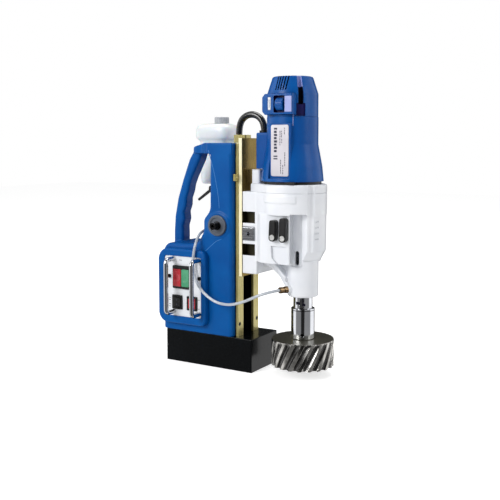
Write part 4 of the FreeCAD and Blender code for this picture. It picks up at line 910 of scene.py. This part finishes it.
def dial_trim():
    """Pale tab beside the wheel painted as a highlight, a light oval on the ear and a light crease down the
    casing painted as a highlight.
    """
    face = dial_at.low.y
    trim("dial_tab", pale_highlight_blue, "head", "blue_plastic", block,
         (0.1897, face - 0.0008, 0.5425), (0.2050, face + 0.001, 0.5735), 0.0006)
    trim("dial_oval", print_white, "head", "blue_plastic", block,
         (0.1515, face - 0.0006, 0.5465), (0.1580, face + 0.001, 0.5720), 0.0014)
    trim("dial_oval_slit", blue_plastic, "head", "blue_plastic", block,
         (0.1542, face - 0.0009, 0.5510), (0.1553, face + 0.001, 0.5675), 0.0004)
    trim("case_crease", pale_highlight_blue, "head", "blue_plastic", arc_block,
         CAP_AXIS, 0.0515, 0.0538, 0.5150, 0.5660, -61.7, -60.5)


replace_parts(motor_cap(), "motor_cap")
dial_trim()


# ---------------------------------------------------------------- nameplate print and panel marks
def flat_marks(name, marks, y, thick, material, body):
    """Thin raised marks on a face that looks towards -Y; each is (x0, x1, z0, z1)."""
    bm = bmesh.new()
    for x0, x1, z0, z1 in marks:
        block(bm, (x0, y - thick, z0), (x1, y, z1), 0.00015, 1)
    return made(name, bm, material, body)


def round_plate(name, low, high, radius, material, body):
    """Thin plate facing -Y with round corners."""
    corners = []
    for cx, cz, start in ((high.x - radius, high.z - radius, 0), (low.x + radius, high.z - radius, 90),
                          (low.x + radius, low.z + radius, 180), (high.x - radius, low.z + radius, 270)):
        for k in range(7):
            a = math.radians(start + 15 * k)
            corners.append((cx + radius * math.cos(a), cz + radius * math.sin(a)))
    bm = bmesh.new()
    prism(bm, corners, low.y, high.y)
    bmesh.ops.recalc_face_normals(bm, faces=bm.faces)
    return made(name, bm, material, body)


# Height and width of each bold stroke, from the top of the plate down
BOLD_STROKES = ((0.005, 0.007), (0.006, 0.006), (0.0055, 0.007), (0.006, 0.006), (0.006, 0.007),
                (0.0055, 0.006), (0.006, 0.007), (0.0058, 0.006))
# Place across the plate, start below its top and number of strokes in each fine row
FINE_ROWS = ((0.0200, 0.012, 4), (0.0235, 0.012, 3), (0.0200, 0.028, 3), (0.0240, 0.028, 2),
             (0.0310, 0.055, 6), (0.0215, 0.070, 6), (0.0265, 0.080, 4), (0.0300, 0.006, 3))
FINE_TALL = (0.0042, 0.0026, 0.0034)
FINE_WIDE, FINE_GAP = 0.0014, 0.0014


def nameplate_bold():
    """A row of plain blocks and two bars, which stand for a name and read as nothing."""
    x = plate_at.low.x + 0.0070
    z = plate_at.high.z - 0.006
    marks = []
    for tall, wide in BOLD_STROKES:
        marks.append((x, x + wide, z - tall + 0.0014, z))
        z -= tall + 0.0006
    for drop in (0.0075, 0.0125):
        marks.append((x - 0.0010, x + 0.0080, z - drop, z - drop + 0.0025))
    flat_marks("nameplate_bold", marks, plate_at.low.y, 0.00025, print_dark, "head")


def nameplate_fine():
    """Rows of small strokes that run up the plate and stand for its figures."""
    marks = []
    for column, (offset, start, count) in enumerate(FINE_ROWS):
        x = plate_at.low.x + offset
        z = plate_at.high.z - start
        for k in range(count):
            tall = FINE_TALL[(k + column) % len(FINE_TALL)]
            marks.append((x, x + FINE_WIDE, z - tall, z))
            z -= tall + FINE_GAP
    flat_marks("nameplate_fine", marks, plate_at.low.y, 0.0002, print_grey, "head")


nameplate = round_plate("rating_plate", plate_at.low, plate_at.high, 0.004, label_silver, "head")
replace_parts(nameplate, "nameplate")
nameplate_bold()
nameplate_fine()

TURN_MARKS = ((-0.0915, 0.1407), (-0.0915, 0.1266))
TURN_MARK_R, TURN_LINE_R = 0.0029, 0.0004
PANEL_BARS = ((-0.0172, -0.0120, 0.1440, 0.1450), (-0.0172, -0.0120, 0.1245, 0.1255),
              (-0.066, -0.058, 0.2272, 0.2282))
DOT_HALF, DOT_RISE = 0.0016, 0.005


def panel_marks():
    """Turn rings beside the motor switch, bars beside the magnet switch and dots on a rocker."""
    bm = bmesh.new()
    for x, z in TURN_MARKS:
        for start in (20, 200):
            line = []
            for k in range(9):
                a = math.radians(start + 17 * k)
                line.append((x + TURN_MARK_R * math.cos(a), panel_at.low.y - 0.0001,
                             z + TURN_MARK_R * math.sin(a)))
            sweep(bm, line, TURN_LINE_R, 6)
    made("turn_marks", bm, print_grey, "stand")
    flat_marks("magnet_marks", PANEL_BARS, panel_at.low.y, 0.0003, print_grey, "stand")
    low, _, mid = span("direction_rocker")
    dots = [(mid.x - DOT_HALF, mid.x + DOT_HALF, z - DOT_HALF, z + DOT_HALF)
            for z in (mid.z - DOT_RISE, mid.z + DOT_RISE)]
    flat_marks("rocker_marks", dots, low.y + 0.0006, 0.0008, print_grey, "direction_rocker")


panel_marks()


# ---------------------------------------------------------------- carried-over nodes
slot_of = {part["node"]: part["material_slot"] for part in frame["record"]["subparts"]}
for name, thing in frame["nodes"].items():
    thing.data.materials.clear()
    thing.data.materials.append(OWN_FINISH.get(name, BY_SLOT[slot_of[name]]))


def second_finish(node, material, chosen):
    """Gives the chosen faces of a carried-over node another finish."""
    mesh = frame["nodes"][node].data
    mesh.materials.append(material)
    for face in mesh.polygons:
        if chosen(face):
            face.material_index = 1


def low_block(face):
    """The rear fitting's square block, below the conduit's collar."""
    return face.center.x < 0.075 and face.center.z < 0.4985


def wheel_recess(face):
    """The inside of the slot that the speed wheel stands in, which is painted dark blue as shade."""
    return face.center.y > -0.0588 and 0.164 < face.center.x < 0.190


def upper_chamfer(face):
    """The arbor's chamfer under its mouth."""
    return 0.3 < face.normal.z < 0.95 and face.center.z > 0.13


# The slide's side faces take the pale lit copy of its gold, a painted highlight; its other faces keep the
# darker olive copy, painted shade.
second_finish("slide", lit_gold_side, lambda face: abs(face.normal.y) > 0.7)
second_finish("conduit_glands", gold, low_block)
second_finish("dial_module", deep_blue_shade, wheel_recess)
second_finish("arbor", dark_steel, upper_chamfer)


# ---------------------------------------------------------------- floor, light and camera
FLOOR_HALF, FLOOR_DROP = 6.0, 0.0004
FLOOR_GLOW = (0.65, 0.65, 0.65, 1)


def floor():
    """Wide pale floor just under the object."""
    bm = bmesh.new()
    bmesh.ops.create_grid(bm, x_segments=8, y_segments=8, size=FLOOR_HALF)
    mesh = bpy.data.meshes.new("floor")
    bm.to_mesh(mesh)
    bm.free()
    ground = bpy.data.objects.new("floor", mesh)
    bpy.context.scene.collection.objects.link(ground)
    ground.location.z = cad_box[0].z - FLOOR_DROP
    mesh.materials.append(floor_white())


def floor_white():
    """Pale floor that glows a little to the eye and leaves the studio's cards to shiny faces."""
    white = surface("floor_white", (0.78, 0.78, 0.78, 1), (0.76, 0.76, 0.76, 1), 0.7, bump=0.0,
                    Specular_IOR_Level=0.0)
    g = Graph(white)
    paint = g.nodes["Principled BSDF"].outputs[0]
    ray = g.nodes.new("ShaderNodeLightPath")
    glow = g.add("ShaderNodeEmission", Color=FLOOR_GLOW)
    lit = g.nodes.new("ShaderNodeAddShader")
    g.links.new(paint, lit.inputs[0])
    g.links.new(glow.outputs[0], lit.inputs[1])
    seen = g.choose(ray.outputs["Is Camera Ray"], paint, lit.outputs[0])
    clear = g.nodes.new("ShaderNodeBsdfTransparent")
    passed = g.choose(ray.outputs["Is Glossy Ray"], seen, clear.outputs[0])
    g.links.new(passed, g.nodes["Material Output"].inputs["Surface"])
    return white


def lamp(name, place, aim, size, power):
    """Soft rectangular light that looks at a point."""
    data = bpy.data.lights.new(name, "AREA")
    data.shape = "RECTANGLE"
    data.size, data.size_y = size
    data.energy = power
    light = bpy.data.objects.new(name, data)
    bpy.context.scene.collection.objects.link(light)
    light.location = place
    light.rotation_mode = "QUATERNION"
    light.rotation_quaternion = (Vector(aim) - Vector(place)).to_track_quat("-Z", "Y")


AMBIENT = 0.42
# Brightness of the studio round the object, by compass angle in degrees from +X, as reflections see it.
CARDS = ((-180, 1.15), (-138, 1.15), (-130, 0.26), (-84, 0.26), (-77, 0.02), (-48, 0.02), (-42, 0.30),
         (12, 0.30), (20, 1.25), (70, 1.25), (80, 0.05), (160, 0.05), (172, 1.15), (180, 1.15))


def cards(g):
    """Brightness of the cards in the direction that a ray goes."""
    coords = g.nodes.new("ShaderNodeTexCoord")
    parts = g.add("ShaderNodeSeparateXYZ", Vector=coords.outputs["Generated"])
    compass = g.nodes.new("ShaderNodeMath")
    compass.operation = "ARCTAN2"
    g.links.new(parts.outputs["Y"], compass.inputs[0])
    g.links.new(parts.outputs["X"], compass.inputs[1])
    turn = g.spread(compass.outputs[0], -math.pi, math.pi, 0.0, 1.0)
    ramp = g.add("ShaderNodeValToRGB", Fac=turn)
    stops = ramp.color_ramp.elements
    while len(stops) < len(CARDS):
        stops.new(0.5)
    for stop, (angle, _) in zip(stops, CARDS):
        stop.position = (angle + 180) / 360
    for stop, (_, value) in zip(stops, CARDS):
        stop.color = (value, value, value, 1)
    return ramp.outputs["Color"]


def studio_sky():
    """White to the eye, an even grey to matt faces, and light and dark cards to shiny ones."""
    world = bpy.data.worlds.new("studio")
    bpy.context.scene.world = world
    g = Graph(world)
    ray = g.nodes.new("ShaderNodeLightPath")
    shiny = g.blend(ray.outputs["Is Glossy Ray"], (AMBIENT, AMBIENT, AMBIENT, 1), cards(g))
    seen = g.blend(ray.outputs["Is Camera Ray"], shiny, (1, 1, 1, 1))
    g.links.new(seen, g.nodes["Background"].inputs["Color"])


def studio():
    """Soft key light on the panel side, a weak fill at the drilling end and a top light."""
    studio_sky()
    target = (0.05, 0, 0.3)
    lamp("key", (-0.9, -2.5, 1.5), target, (1.3, 1.3), 52)
    lamp("fill", (2.5, 0.2, 1.3), target, (1.0, 1.6), 12)
    lamp("top", (0.1, 0.5, 2.6), target, (1.6, 1.6), 34)
    bpy.context.scene.view_settings.view_transform = "Standard"


LENS, SENSOR = 57.7, 36.0
PITCH, YAW = math.radians(5.0), math.radians(31.08)
HORIZON_RISE = 0.2142
EYE = (0.9561, -1.4641, 0.4809)


def camera():
    """Long lens on the panel side, seen from the drilling end, with its view shifted to the object."""
    data = bpy.data.cameras.new("camera")
    data.sensor_width = SENSOR
    data.lens = LENS
    data.shift_y = -(HORIZON_RISE - LENS / SENSOR * math.tan(PITCH))
    eye = bpy.data.objects.new("camera", data)
    bpy.context.scene.collection.objects.link(eye)
    eye.location = EYE
    eye.rotation_euler = (math.radians(90) - PITCH, 0, YAW)
    bpy.context.scene.camera = eye


floor()
studio()
camera()
